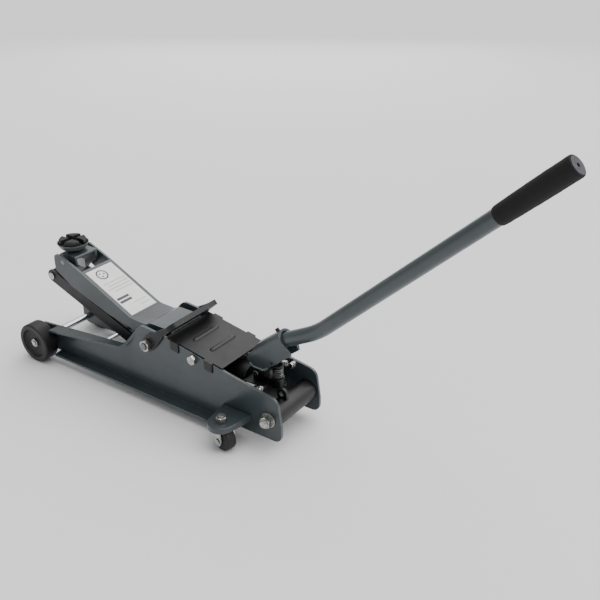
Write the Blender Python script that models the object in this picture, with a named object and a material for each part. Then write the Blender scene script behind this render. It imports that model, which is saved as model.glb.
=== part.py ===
"""Hydraulic trolley jack, half raised, as an assembly of separate pieces.

The jack's own axes: +X forward to the saddle, +Y to the left, +Z up, floor at Z = 0.
Sizes are written from the rear end of the side plates; the root empty then moves the
whole jack so that the world origin is the middle of its footprint, on the floor.
"""
import math

import bmesh
import bpy
from mathutils import Matrix, Vector

MM = 0.001

# --- Fits -------------------------------------------------------------------------
GAP = 0.3 * MM            # between pieces that touch or run in each other
SIDE_PLAY = 1.2 * MM      # beside a turning wheel
ROUND = 28                # sides of a large round piece
SMALL_ROUND = 16          # sides of a pin, bolt or bore
TUBE_SIDES = 16

# --- Side plates ------------------------------------------------------------------
FRAME_HALF_WIDTH = 57 * MM
PLATE = 4.5 * MM
PLATE_BOTTOM = 16 * MM
TAIL_X_TOP = 10 * MM
TAIL_TOP = 95.5 * MM
BELLY = (104 * MM, 109.5 * MM)   # where the top edge grows steeper
HUMP_X = 292 * MM
HUMP_TOP = 141 * MM
HUMP_REAR_X = 250 * MM
HUMP_REAR_TOP = 136 * MM
DIP_X = 349 * MM
DIP_TOP = 87 * MM
NOSE_TOP = 66 * MM
NOSE_REACH = 24 * MM      # plate in front of and around the axle
FLANGE_WIDTH = 21 * MM
FLANGE = 4 * MM

# --- Wheels -----------------------------------------------------------------------
AXLE_X = 558 * MM
FRONT_WHEEL_R = 38 * MM
FRONT_WHEEL_WIDTH = 29 * MM
FRONT_WHEEL_OUT = 9 * MM  # plate to wheel
AXLE_R = 6.25 * MM
TIE_ROD = (448 * MM, 41 * MM)
TIE_ROD_R = 4 * MM

CASTER_X = 92 * MM
CASTER_OUT = 41 * MM      # plate to swivel axis
CASTER_R = 20 * MM
CASTER_WIDTH = 22 * MM
CASTER_TRAIL = 7 * MM
CASTER_YAW = math.radians(12)
BRACKET_R = 23 * MM
BRACKET_HALF = 30 * MM
BRACKET_TOP = 49 * MM
BRACKET_SKIRT = 8 * MM
SHEET = 3 * MM

# --- Lift linkage: a parallelogram of two pivots on the frame, two on the carrier ---
ARM_PIVOT = (283 * MM, 111 * MM)
CARRIER_PIVOT = (512 * MM, 197 * MM)
LINK_FRONT = (551 * MM, 159 * MM)
ARM_HALF_WIDTH = 38 * MM
ARM_SHEET = 4 * MM
MAIN_SHAFT_R = 8 * MM
STUD_R = 6 * MM
PIN_R = 5 * MM
LINK_R = 12 * MM
LINK_PIN_R = 4.5 * MM
RAM_PIN_R = 5 * MM
RAM_LEVER = 40 * MM
RAM_LEVER_ANGLE = math.radians(-115)
SADDLE_X = 521 * MM
CARRIER_HALF_WIDTH = 26 * MM
CARRIER_DECK = 209.5 * MM
SADDLE_Z = 213 * MM
BOSS_R = 12 * MM
CUP_R = 29.5 * MM
CUP_RIM = 11 * MM
PAD_R = 25 * MM
PAD_TOP = 19 * MM         # saddle seat to pad top
PAD_GROOVE = 10 * MM

# --- Hydraulic unit ---------------------------------------------------------------
RAM_Z = 78 * MM
RAM_R = 11 * MM
CYLINDER_R = 22 * MM
CYLINDER_X = (105 * MM, 232 * MM)
BLOCK_X = (60 * MM, 104.7 * MM)
BLOCK_Z = (38 * MM, 86 * MM)
BLOCK_HALF = 26 * MM
TUBE_AT = (27 * MM, 54 * MM)
TUBE_R = 19 * MM
SLOT_PLAY = 2.6 * MM

# --- Handle and pump --------------------------------------------------------------
HANDLE_PIVOT = (84 * MM, 100 * MM)
HANDLE_R = 12.5 * MM
HANDLE_WALL = 2 * MM
SOCKET_AT = (37 * MM, 171 * MM)
SOCKET_ANGLE = math.radians(39)
SOCKET_WALL = 4 * MM
SOCKET_SKIRT = 27 * MM
SOCKET_PINCH = 7 * MM     # half width between the skirts at the mouth
BEND_AT = (-27 * MM, 205 * MM)
GRIP_END = (-380 * MM, 535.5 * MM)
GRIP_LENGTH = 120 * MM
GRIP_R = 15.5 * MM
GRIP_EDGE = 2 * MM         # bevel at the grip's end
PLUNGER_X = 50 * MM
PLUNGER_R = 7 * MM
PLUNGER_TOP = 121.5 * MM
SLEEVE_TOP = 98 * MM
ROLLER_Z = 131 * MM

# --- Cover, carrying handle and fasteners -------------------------------------------
COVER_X = (122 * MM, 241 * MM)
COVER_TABS = ((141 * MM, 158 * MM), (214 * MM, 232 * MM))
COVER_TAB_DROP = 15 * MM
COVER_RIBS = (166 * MM, 203 * MM)
COVER_RIB_HALF = 33 * MM
COVER_SHEET = 2 * MM
CARRY_TOP = (226 * MM, 167 * MM)
CARRY_LOW = (248 * MM, 147 * MM)
CARRY_BEND = 14 * MM      # corner radius of the deck
CARRY_SHEET = 4.5 * MM
CARRY_DECK = 9 * MM
COVER_BOLT = (183 * MM, 113 * MM)

# --- What follows from them -------------------------------------------------------
WEB_OUT = FRAME_HALF_WIDTH
WEB_IN = FRAME_HALF_WIDTH - PLATE
AXLE_Z = FRONT_WHEEL_R
ARM_IN = ARM_HALF_WIDTH - ARM_SHEET
LINK_ANCHOR = (ARM_PIVOT[0] + LINK_FRONT[0] - CARRIER_PIVOT[0],
               ARM_PIVOT[1] + LINK_FRONT[1] - CARRIER_PIVOT[1])
RAM_PIN = (ARM_PIVOT[0] + RAM_LEVER * math.cos(RAM_LEVER_ANGLE),
           ARM_PIVOT[1] + RAM_LEVER * math.sin(RAM_LEVER_ANGLE))
HANDLE_ANGLE = math.atan2(GRIP_END[1] - BEND_AT[1], BEND_AT[0] - GRIP_END[0])
SOCKET_R = HANDLE_R + 2 * GAP + SOCKET_WALL
NOSE_X = AXLE_X + FRONT_WHEEL_R
TAIL_X = GRIP_END[0] - (GRIP_R - GRIP_EDGE) * math.sin(HANDLE_ANGLE)
ORIGIN_X = (NOSE_X + TAIL_X) / 2

PAINTS = {
    "slate_paint": ((0.075, 0.098, 0.105), 0.25, 0.38),
    "black_paint": ((0.012, 0.012, 0.013), 0.1, 0.42),
    "black_plastic": ((0.010, 0.010, 0.011), 0.0, 0.5),
    "rubber": ((0.012, 0.012, 0.012), 0.0, 0.7),
    "zinc": ((0.62, 0.61, 0.58), 1.0, 0.32),
    "chrome": ((0.75, 0.75, 0.76), 1.0, 0.12),
    "steel": ((0.36, 0.36, 0.37), 1.0, 0.4),
    "foam": ((0.010, 0.010, 0.011), 0.0, 0.85),
}


# --- Mesh tools -------------------------------------------------------------------
def material(name):
    """The material of that name, made on first use."""
    found = bpy.data.materials.get(name)
    if found:
        return found
    colour, metallic, roughness = PAINTS[name]
    made = bpy.data.materials.new(name)
    made.use_nodes = True
    shader = made.node_tree.nodes["Principled BSDF"]
    shader.inputs["Base Color"].default_value = (*colour, 1)
    shader.inputs["Metallic"].default_value = metallic
    shader.inputs["Roughness"].default_value = roughness
    return made


def solid(name, points, faces):
    """A mesh object from points and faces, with its faces turned outwards."""
    mesh = bpy.data.meshes.new(name)
    mesh.from_pydata([tuple(point) for point in points], [], faces)
    work = bmesh.new()
    work.from_mesh(mesh)
    bmesh.ops.recalc_face_normals(work, faces=work.faces)
    work.to_mesh(mesh)
    work.free()
    made = bpy.data.objects.new(name, mesh)
    bpy.context.scene.collection.objects.link(made)
    return made


def loft(name, sections, closed=False):
    """Skin between sections of equally many points; the ends are capped unless closed."""
    count = len(sections[0])
    points = [point for section in sections for point in section]
    faces = []
    for index in range(len(sections) if closed else len(sections) - 1):
        here = index * count
        there = (index + 1) % len(sections) * count
        for step in range(count):
            after = (step + 1) % count
            faces.append((here + step, here + after, there + after, there + step))
    if not closed:
        faces.append(tuple(range(count)))
        faces.append(tuple(range(len(points) - count, len(points))))
    return solid(name, points, faces)


def lifted(pair, along, axis):
    """A point of an outline in the plane across the axis, at a height along it."""
    if axis == "X":
        return Vector((along, pair[0], pair[1]))
    if axis == "Y":
        return Vector((pair[0], along, pair[1]))
    return Vector((pair[0], pair[1], along))


def prism(name, outline, low, high, axis="Y"):
    """An outline drawn across an axis and extruded along it from low to high."""
    return loft(name, [[lifted(pair, along, axis) for pair in outline] for along in (low, high)])


def rounded(corners, steps=4):
    """An outline whose corners (a, b, radius) are turned into arcs."""
    outline = []
    for index, (a, b, radius) in enumerate(corners):
        here = Vector((a, b))
        back = Vector(corners[index - 1][:2]) - here
        ahead = Vector(corners[(index + 1) % len(corners)][:2]) - here
        half = back.angle(ahead) / 2
        run = radius / math.tan(half) if radius else 0
        run = min(run, back.length * 0.49, ahead.length * 0.49)
        if run < GAP:
            outline.append((a, b))
            continue
        radius = run * math.tan(half)
        middle = here + (back.normalized() + ahead.normalized()).normalized() * radius / math.sin(half)
        start = here + back.normalized() * run - middle
        turn = start.angle_signed(here + ahead.normalized() * run - middle)
        for step in range(steps + 1):
            share = turn * step / steps
            spoke = Vector((start.x * math.cos(share) + start.y * math.sin(share),
                            start.y * math.cos(share) - start.x * math.sin(share)))
            outline.append(tuple(middle + spoke))
    return outline


def capsule(one, one_r, other, other_r, steps=8):
    """The outline around two circles, as a link or an eyed strap has."""
    heading = math.atan2(other[1] - one[1], other[0] - one[0])
    outline = []
    for centre, radius, start in ((other, other_r, heading - math.pi / 2), (one, one_r, heading + math.pi / 2)):
        for step in range(steps + 1):
            angle = start + math.pi * step / steps
            outline.append((centre[0] + radius * math.cos(angle), centre[1] + radius * math.sin(angle)))
    return outline


def turned(name, profile, at, axis, sides=ROUND, flats=None):
    """A profile of (radius, height) turned about an axis through the point at.

    A profile that starts and ends on the axis is solid; any other is a ring. The
    radii listed in flats are the half width across flats of a hexagon.
    """
    up = Vector(axis).normalized()
    side = Vector((0, 0, -1)) if abs(up.z) < 0.5 else Vector((1, 0, 0))
    side = (side - up * side.dot(up)).normalized()
    other = up.cross(side)
    at = Vector(at)
    is_solid = profile[0][0] == 0
    points, rings = [], []
    for radius, height in profile:
        first = len(points)
        if radius == 0:
            points.append(at + up * height)
            rings.append([first] * sides)
            continue
        for step in range(sides):
            angle = 2 * math.pi * step / sides
            reach = radius
            if flats and radius in flats:
                reach = radius / math.cos((angle % (math.pi / 3)) - math.pi / 6)
            points.append(at + up * height + (side * math.cos(angle) + other * math.sin(angle)) * reach)
        rings.append(list(range(first, first + sides)))
    faces = []
    for index in range(len(rings) - 1 if is_solid else len(rings)):
        low, high = rings[index], rings[(index + 1) % len(rings)]
        for step in range(sides):
            after = (step + 1) % sides
            corners = [low[step], low[after], high[after], high[step]]
            faces.append(tuple(dict.fromkeys(corners)))
    return solid(name, points, faces)


def rod(name, start, end, radius, bore=0, sides=SMALL_ROUND):
    """A bar, or a tube where it has a bore, from one point to another."""
    start, end = Vector(start), Vector(end)
    length = (end - start).length
    profile = [(0, 0), (radius, 0), (radius, length), (0, length)]
    if bore:
        profile = [(bore, 0), (radius, 0), (radius, length), (bore, length)]
    return turned(name, profile, start, end - start, sides)


def cross_bar(name, at, half, radius, bore=0, sides=SMALL_ROUND):
    """A bar across the jack, as far to the left as to the right."""
    return rod(name, (at[0], -half, at[1]), (at[0], half, at[1]), radius, bore, sides)


def combine(target, other, operation):
    """The target with the other solid cut out, joined on or kept in common."""
    step = target.modifiers.new(operation.lower(), "BOOLEAN")
    step.operation = operation
    step.solver = "EXACT"
    step.object = other
    bpy.context.view_layer.update()
    result = bpy.data.meshes.new_from_object(target.evaluated_get(bpy.context.evaluated_depsgraph_get()))
    target.modifiers.clear()
    target.data = result
    bpy.data.objects.remove(other)
    return target


def bored(target, at, radius, low, high):
    """The target with a hole across the jack, from one side position to another."""
    return combine(target, rod("bore", (at[0], low, at[1]), (at[0], high, at[1]), radius), "DIFFERENCE")


def mirrored(original, name):
    """The right-hand copy of a left-hand piece."""
    mesh = original.data.copy()
    mesh.transform(Matrix.Scale(-1, 4, (0, 1, 0)))
    mesh.flip_normals()
    made = bpy.data.objects.new(name, mesh)
    bpy.context.scene.collection.objects.link(made)
    return made


# --- Bodies -----------------------------------------------------------------------
PLACES = {}


def body(name, at, parent=None):
    """An empty on a joint's axis, under the body that carries it."""
    empty = bpy.data.objects.new(name, None)
    bpy.context.scene.collection.objects.link(empty)
    PLACES[name] = Vector(at)
    if parent:
        empty.parent = bpy.data.objects[parent]
        empty.location = PLACES[name] - PLACES[parent]
    return empty


def fit(piece, carrier, finish):
    """Put a piece on its body and give it its material."""
    piece.data.transform(Matrix.Translation(-PLACES[carrier]))
    piece.parent = bpy.data.objects[carrier]
    piece.data.materials.clear()
    piece.data.materials.append(material(finish))
    piece.data.shade_smooth()
    piece.data.set_sharp_from_angle(angle=math.radians(35))
    return piece


def fit_pair(left, right_name, carrier, finish, other_carrier=None):
    """Fit a left-hand piece and its mirror image."""
    right = mirrored(left, right_name)
    fit(left, carrier, finish)
    fit(right, other_carrier or carrier, finish)


def make_bodies():
    """Every body of the linkage, from the frame outwards."""
    body("frame", (0, 0, 0))
    body("lift_arm_axis", (ARM_PIVOT[0], 0, ARM_PIVOT[1]), "frame")
    body("carrier_axis", (CARRIER_PIVOT[0], 0, CARRIER_PIVOT[1]), "lift_arm_axis")
    body("saddle_axis", (SADDLE_X, 0, SADDLE_Z), "carrier_axis")
    body("links_axis", (LINK_ANCHOR[0], 0, LINK_ANCHOR[1]), "frame")
    body("ram_axis", (RAM_PIN[0], 0, RAM_Z), "frame")
    body("handle_axis", (HANDLE_PIVOT[0], 0, HANDLE_PIVOT[1]), "frame")
    body("plunger_axis", (PLUNGER_X, 0, PLUNGER_TOP), "frame")
    body("valve_axis", valve_at(), "frame")
    for side, sign in (("left", 1), ("right", -1)):
        body(f"front_{side}_axis", (AXLE_X, sign * wheel_inner(), AXLE_Z), "frame")
        body(f"swivel_{side}_axis", (CASTER_X, sign * caster_y(), BRACKET_TOP), "frame")
        wheel = caster_hub()
        body(f"caster_{side}_axis", (wheel.x, sign * wheel.y, wheel.z), f"swivel_{side}_axis")
    bpy.data.objects["frame"].location = (-ORIGIN_X, 0, 0)


def wheel_inner():
    """Distance from the jack's middle to a front wheel's inner face."""
    return WEB_OUT + FRONT_WHEEL_OUT


def caster_y():
    """Distance from the jack's middle to a caster's swivel axis."""
    return WEB_OUT + CASTER_OUT


def caster_hub():
    """Centre of the left caster's wheel, which trails its swivel axis."""
    return Vector((CASTER_X - CASTER_TRAIL * math.cos(CASTER_YAW),
                   caster_y() + CASTER_TRAIL * math.sin(CASTER_YAW), CASTER_R))


def valve_at():
    """Where the release valve's stem leaves the pump block."""
    return (BLOCK_X[0], -0.6 * BLOCK_HALF, TUBE_AT[1] + TUBE_R)


# --- Frame ------------------------------------------------------------------------
def plate_top(x):
    """Height of the side plate's top edge behind its hump."""
    low, high = ((TAIL_X_TOP, TAIL_TOP), BELLY) if x < BELLY[0] else (BELLY, (HUMP_REAR_X, HUMP_REAR_TOP))
    return low[1] + (high[1] - low[1]) * (x - low[0]) / (high[0] - low[0])


def nose_top(x):
    """Height of the side plate's top edge in front of its dip."""
    return DIP_TOP + (NOSE_TOP - DIP_TOP) * (x - DIP_X) / (AXLE_X - DIP_X)


def plate_outline():
    """Side view of a plate: rounded tail, hump at the arm's pivot, low nose."""
    front = AXLE_X + NOSE_REACH
    tail = 2.5 * MM
    return rounded([
        (tail, PLATE_BOTTOM, 20 * MM),
        (tail, 45 * MM, 30 * MM),
        (TAIL_X_TOP, TAIL_TOP, 18 * MM),
        (*BELLY, 60 * MM),
        (HUMP_REAR_X, HUMP_REAR_TOP, 30 * MM),
        (HUMP_X + 10 * MM, HUMP_TOP, 20 * MM),
        (DIP_X, DIP_TOP, 24 * MM),
        (front, nose_top(front), 18 * MM),
        (front, PLATE_BOTTOM, 14 * MM),
    ])


def nose_flange():
    """The flange turned out along the nose's top edge, narrower towards the hump."""
    first, last = DIP_X + 2 * MM, AXLE_X - FRONT_WHEEL_R + 8 * MM
    sections = []
    for step in range(7):
        share = step / 6
        x = first + (last - first) * share
        top = nose_top(x) - GAP
        reach = WEB_OUT + FLANGE_WIDTH * (0.45 + 0.55 * share)
        sections.append([(x, WEB_OUT - PLATE / 2, top), (x, reach, top),
                         (x, reach, top - FLANGE), (x, WEB_OUT - PLATE / 2, top - FLANGE)])
    return loft("nose_flange", sections)


def hump_flange():
    """The nose flange's tail, which climbs the hump's front and dies out."""
    sections = []
    climb = [(DIP_X + 3 * MM, DIP_TOP - 0.6 * MM), (DIP_X - 9 * MM, DIP_TOP + 7 * MM),
             (DIP_X - 20 * MM, DIP_TOP + 20 * MM), (DIP_X - 30 * MM, DIP_TOP + 33 * MM)]
    for step, (x, top) in enumerate(climb):
        reach = WEB_OUT + FLANGE_WIDTH * 0.45 * (1 - step / 3) + GAP
        sections.append([(x, WEB_OUT - PLATE / 2, top), (x, reach, top),
                         (x - 2 * MM, reach, top - FLANGE), (x - 2 * MM, WEB_OUT - PLATE / 2, top - FLANGE)])
    return loft("hump_flange", sections)


def make_side_plates():
    """Both pressed side plates with their flanges and bores."""
    plate = prism("side_plate_left", plate_outline(), WEB_IN, WEB_OUT)
    flange_front = AXLE_X - FRONT_WHEEL_R - MM
    flange_rear = CASTER_X + BRACKET_HALF + GAP
    outline = [(flange_rear, WEB_OUT - PLATE / 2), (flange_front + 5 * MM, WEB_OUT - PLATE / 2),
               (flange_front, WEB_OUT + FLANGE_WIDTH), (flange_rear, WEB_OUT + FLANGE_WIDTH)]
    low = PLATE_BOTTOM - GAP
    combine(plate, prism("foot_flange", outline, low, low + FLANGE, "Z"), "UNION")
    combine(plate, nose_flange(), "UNION")
    combine(plate, hump_flange(), "UNION")
    for at, radius in ((ARM_PIVOT, MAIN_SHAFT_R), ((AXLE_X, AXLE_Z), AXLE_R),
                       (TUBE_AT, STUD_R), (COVER_BOLT, PIN_R)):
        bored(plate, at, radius + GAP, WEB_IN - PLATE, WEB_OUT + PLATE)
    fit_pair(plate, "side_plate_right", "frame", "slate_paint")


def hex_bolt(name, at, out, across, height, shank_r, shank, washer_r=0, washer=0, stud=0):
    """A hexagon head on a shank along Y, with a washer and a stud end where it has them.

    out is the height of the face that it sits on; the shank runs inwards from there.
    """
    half = across / 2
    profile = [(0, -shank), (shank_r, -shank), (shank_r, 0)]
    if washer:
        profile += [(washer_r, 0), (washer_r, washer)]
    profile += [(half, washer), (half, washer + height)]
    if stud:
        profile += [(shank_r, washer + height), (shank_r, washer + height + stud)]
    profile.append((0, washer + height + stud))
    return turned(name, profile, (at[0], out, at[1]), (0, 1, 0), 24, flats=(half,))


def hex_nut(name, at, axis, across, height, bore):
    """A hexagon nut around a stud that passes through it."""
    half = across / 2
    profile = [(bore, 0), (half, 0), (half, height), (bore, height)]
    return turned(name, profile, at, axis, 24, flats=(half,))


def make_shafts():
    """Axle, tie rod, pivot shafts and the rear cross tube, with their fasteners."""
    wheel_out = wheel_inner() + FRONT_WHEEL_WIDTH
    stud_r = 4.5 * MM
    end = wheel_out - 1 * MM
    shoulder = wheel_out - 8 * MM
    profile = [(0, -end), (stud_r, -end), (stud_r, -shoulder), (AXLE_R, -shoulder),
               (AXLE_R, shoulder), (stud_r, shoulder), (stud_r, end), (0, end)]
    fit(turned("front_axle", profile, (AXLE_X, 0, AXLE_Z), (0, 1, 0), SMALL_ROUND), "frame", "chrome")
    nut = hex_nut("axle_nut_left", (AXLE_X, shoulder + GAP, AXLE_Z), (0, 1, 0), 15 * MM, 5 * MM, stud_r + GAP)
    fit_pair(nut, "axle_nut_right", "frame", "zinc")
    fit(cross_bar("tie_rod", TIE_ROD, WEB_IN - GAP, TIE_ROD_R), "frame", "chrome")
    fit(cross_bar("link_anchor_shaft", LINK_ANCHOR, WEB_IN - GAP, PIN_R), "frame", "steel")

    strap_out = WEB_OUT + GAP + CARRY_SHEET
    stud_end = strap_out + 12 * MM
    profile = [(0, -stud_end), (STUD_R, -stud_end), (STUD_R, -WEB_OUT), (MAIN_SHAFT_R, -WEB_OUT),
               (MAIN_SHAFT_R, WEB_OUT), (STUD_R, WEB_OUT), (STUD_R, stud_end), (0, stud_end)]
    fit(turned("main_pivot_shaft", profile, (ARM_PIVOT[0], 0, ARM_PIVOT[1]), (0, 1, 0), SMALL_ROUND),
        "frame", "steel")
    nut = hex_nut("main_pivot_nut_left", (ARM_PIVOT[0], strap_out + GAP, ARM_PIVOT[1]), (0, 1, 0),
                  19 * MM, 9 * MM, STUD_R + GAP)
    fit_pair(nut, "main_pivot_nut_right", "frame", "zinc")
    spacer = rod("arm_spacer_left", (ARM_PIVOT[0], ARM_HALF_WIDTH + GAP, ARM_PIVOT[1]),
                 (ARM_PIVOT[0], WEB_IN - GAP, ARM_PIVOT[1]), MAIN_SHAFT_R + 3 * MM, MAIN_SHAFT_R + GAP)
    fit_pair(spacer, "arm_spacer_right", "frame", "steel")

    fit(cross_bar("rear_cross_tube", TUBE_AT, WEB_IN - GAP, TUBE_R, STUD_R + GAP, ROUND), "frame", "black_paint")
    bolt = hex_bolt("rear_bolt_left", TUBE_AT, WEB_OUT + GAP, 19 * MM, 10 * MM, STUD_R, 26 * MM,
                    13 * MM, 2.5 * MM, 5 * MM)
    fit_pair(bolt, "rear_bolt_right", "frame", "zinc")
    bolt = hex_bolt("cover_bolt_left", COVER_BOLT, WEB_OUT + GAP, 15 * MM, 6.5 * MM, PIN_R, PLATE + 3 * MM)
    fit_pair(bolt, "cover_bolt_right", "frame", "zinc")


def make_tube_eye():
    """The eye that stands on the rear cross tube."""
    centre = (TUBE_AT[0] + 3 * MM, TUBE_AT[1] + TUBE_R + 7.5 * MM)
    inner, outer = BLOCK_HALF * 0.46, BLOCK_HALF * 0.7
    eye = prism("tube_eye", capsule(TUBE_AT, 8 * MM, centre, 10 * MM), inner, outer)
    combine(eye, cross_bar("tube_cut", TUBE_AT, WEB_IN, TUBE_R + GAP, sides=ROUND), "DIFFERENCE")
    bored(eye, centre, 5 * MM, inner - PLATE, outer + PLATE)
    fit(eye, "frame", "black_paint")


def spring_stud():
    """Where a return spring hooks on the side plate."""
    return (54 * MM, plate_top(54 * MM) - PIN_R - MM)


def make_return_springs():
    """The two springs that pull the arm down, as sleeves of their outer shape, and their studs."""
    middle = (ARM_HALF_WIDTH + WEB_IN) / 2
    rear = spring_stud()
    span = Vector((RAM_PIN[0] - rear[0], 0, RAM_PIN[1] - rear[1]))
    start = Vector((rear[0], middle, rear[1]))
    coil_r = 5.5 * MM
    spring = rod("return_spring_left", start + span.normalized() * (PIN_R + 3 * MM),
                 start + span * 0.85, coil_r, coil_r - 2 * MM)
    fit_pair(spring, "return_spring_right", "frame", "zinc")
    stud = rod("spring_stud_left", (rear[0], middle - 5 * MM, rear[1]), (rear[0], WEB_IN - GAP, rear[1]), PIN_R)
    fit_pair(stud, "spring_stud_right", "frame", "zinc")


def make_cover():
    """The pressed cover over the hydraulic unit, clipped over the plates' top edges."""
    rear, front = COVER_X
    under = 2 * GAP
    edge = WEB_OUT + GAP + COVER_SHEET

    def strip(name, low_x, high_x, half, rise=0, thickness=COVER_SHEET):
        outline = [(low_x, plate_top(low_x) + under + rise), (high_x, plate_top(high_x) + under + rise),
                   (high_x, plate_top(high_x) + under + rise + thickness),
                   (low_x, plate_top(low_x) + under + rise + thickness)]
        return prism(name, outline, -half, half)

    cover = strip("cover_plate", rear, front, WEB_IN + PLATE / 2)
    for start, end in COVER_TABS:
        fold = strip("fold", start, end, edge, 0.2 * MM, COVER_SHEET - 0.4 * MM)
        combine(cover, fold, "UNION")
        for side in (-1, 1):
            faces = sorted((side * (WEB_OUT + GAP), side * edge))
            drop = [(start + GAP, plate_top(start) - COVER_TAB_DROP), (end - GAP, plate_top(end) - COVER_TAB_DROP),
                    (end - GAP, plate_top(end) + under + COVER_SHEET / 2),
                    (start + GAP, plate_top(start) + under + COVER_SHEET / 2)]
            combine(cover, prism("tab", drop, faces[0], faces[1]), "UNION")
    for middle in COVER_RIBS:
        rib = strip("rib", middle - 5 * MM, middle + 5 * MM, COVER_RIB_HALF, COVER_SHEET / 2, 3.5 * MM)
        combine(cover, rib, "UNION")
    fit(cover, "frame", "black_paint")


def make_carry_handle():
    """The carrying handle: a channel over the arm, whose cheeks turn on the main pivot."""
    low = Vector(CARRY_LOW)
    rise = Vector(CARRY_TOP) - low
    along = rise.normalized()
    under = Vector((-along.y, along.x)) * CARRY_DECK
    inner, outer = WEB_OUT + GAP, WEB_OUT + GAP + CARRY_SHEET
    edge = outer - GAP
    plan = rounded([(-edge, 0, 0), (edge, 0, 0), (edge, rise.length, CARRY_BEND),
                    (-edge, rise.length, CARRY_BEND)], 5)
    sections = []
    for depth in (0, 1):
        places = [(y, low + along * run + under * depth) for y, run in plan]
        sections.append([(spot.x, y, spot.y) for y, spot in places])
    bar = loft("carry_handle", sections)
    x, z = ARM_PIVOT
    inset = under * 0.1
    top = low + along * (rise.length - CARRY_BEND + MM)
    cheek = rounded([
        (*(top + inset), 2 * MM), (x + 2 * MM, z + 18 * MM, 13 * MM), (x + 18 * MM, z - 4 * MM, 13 * MM),
        (x - 2 * MM, z - 18 * MM, 13 * MM), (x - 20 * MM, z + 2 * MM, 12 * MM),
        (*(low + under - inset - along * MM), 3 * MM), (*(top + under - inset), 2 * MM),
    ], 5)
    for faces in ((inner, outer), (-outer, -inner)):
        combine(bar, prism("cheek", cheek, *faces), "UNION")
    bored(bar, ARM_PIVOT, STUD_R + GAP, -outer - PLATE, outer + PLATE)
    fit(bar, "frame", "black_paint")


# --- Hydraulic unit ---------------------------------------------------------------
def make_hydraulics():
    """Cylinder, ram and pump block."""
    rear, front = CYLINDER_X
    floor = rear + 20 * MM
    bore = RAM_R + GAP
    profile = [(0, 0), (CYLINDER_R, 0), (CYLINDER_R, front - rear), (bore, front - rear),
               (bore, floor - rear), (0, floor - rear)]
    fit(turned("hydraulic_cylinder", profile, (rear, 0, RAM_Z), (1, 0, 0)), "frame", "black_paint")

    head_rear = RAM_PIN[0] - RAM_PIN_R - SLOT_PLAY - 8 * MM
    ram = rod("ram", (floor + 25 * MM, 0, RAM_Z), (head_rear - GAP, 0, RAM_Z), RAM_R)
    fit(ram, "ram_axis", "chrome")
    half_slot = RAM_PIN_R + SLOT_PLAY
    head = prism("ram_crosshead", rounded([
        (head_rear, RAM_Z - 21 * MM, 4 * MM), (RAM_PIN[0] + half_slot + 8 * MM, RAM_Z - 21 * MM, 4 * MM),
        (RAM_PIN[0] + half_slot + 8 * MM, RAM_Z + 21 * MM, 4 * MM), (head_rear, RAM_Z + 21 * MM, 4 * MM),
    ]), -15 * MM, 15 * MM)
    slot = capsule((RAM_PIN[0], RAM_Z - 6 * MM), half_slot, (RAM_PIN[0], RAM_Z + 6 * MM), half_slot)
    combine(head, prism("slot", slot, -20 * MM, 20 * MM), "DIFFERENCE")
    fit(head, "ram_axis", "steel")

    ear_r = 11 * MM
    block = prism("pump_block", rounded([
        (BLOCK_X[0], BLOCK_Z[0], 3 * MM), (BLOCK_X[1], BLOCK_Z[0], 3 * MM),
        (BLOCK_X[1], BLOCK_Z[1], 3 * MM), (BLOCK_X[0], BLOCK_Z[1], 3 * MM),
    ]), -BLOCK_HALF, BLOCK_HALF)
    ear_half = HANDLE_R - 4.3 * MM
    ear = capsule((HANDLE_PIVOT[0], BLOCK_Z[1] - 5 * MM), ear_r, HANDLE_PIVOT, ear_r)
    combine(block, prism("ear", ear, -ear_half, ear_half), "UNION")
    sleeve_bottom = BLOCK_Z[1] - 5 * MM
    sleeve_r = PLUNGER_R + 4 * MM
    sleeve = rod("sleeve", (PLUNGER_X, 0, sleeve_bottom), (PLUNGER_X, 0, SLEEVE_TOP), sleeve_r, sides=ROUND)
    combine(block, sleeve, "UNION")
    neck = [(PLUNGER_X, sleeve_bottom + GAP), (HANDLE_PIVOT[0], sleeve_bottom + GAP),
            (HANDLE_PIVOT[0], HANDLE_PIVOT[1] - 7 * MM), (PLUNGER_X, HANDLE_PIVOT[1] - 7 * MM)]
    combine(block, prism("neck", neck, -ear_half + 2 * MM, ear_half - 2 * MM), "UNION")
    bore = rod("bore", (PLUNGER_X, 0, sleeve_bottom - 20 * MM), (PLUNGER_X, 0, SLEEVE_TOP + 9 * MM),
               PLUNGER_R + GAP)
    combine(block, bore, "DIFFERENCE")
    bored(block, HANDLE_PIVOT, PIN_R + GAP, -BLOCK_HALF, BLOCK_HALF)
    stem_r = 4 * MM
    x, y, z = valve_at()
    combine(block, rod("bore", (x - 9 * MM, y, z), (x + 14 * MM, y, z), stem_r + GAP), "DIFFERENCE")
    fit(block, "frame", "black_paint")

    knob_r, knob = 7 * MM, 12 * MM
    profile = [(0, -knob), (knob_r - MM, -knob), (knob_r, MM - knob), (knob_r, -1 * MM), (stem_r, -1 * MM),
               (stem_r, 12 * MM), (0, 12 * MM)]
    valve = turned("release_valve", profile, (x, y, z), (1, 0, 0), 24)
    combine(valve, prism("slot", [(x - knob - MM, z - 1.5 * MM), (x - knob + 4 * MM, z - 1.5 * MM),
                                  (x - knob + 4 * MM, z + 1.5 * MM), (x - knob - MM, z + 1.5 * MM)],
                         y - 9 * MM, y + 9 * MM), "DIFFERENCE")
    fit(valve, "valve_axis", "zinc")


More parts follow.
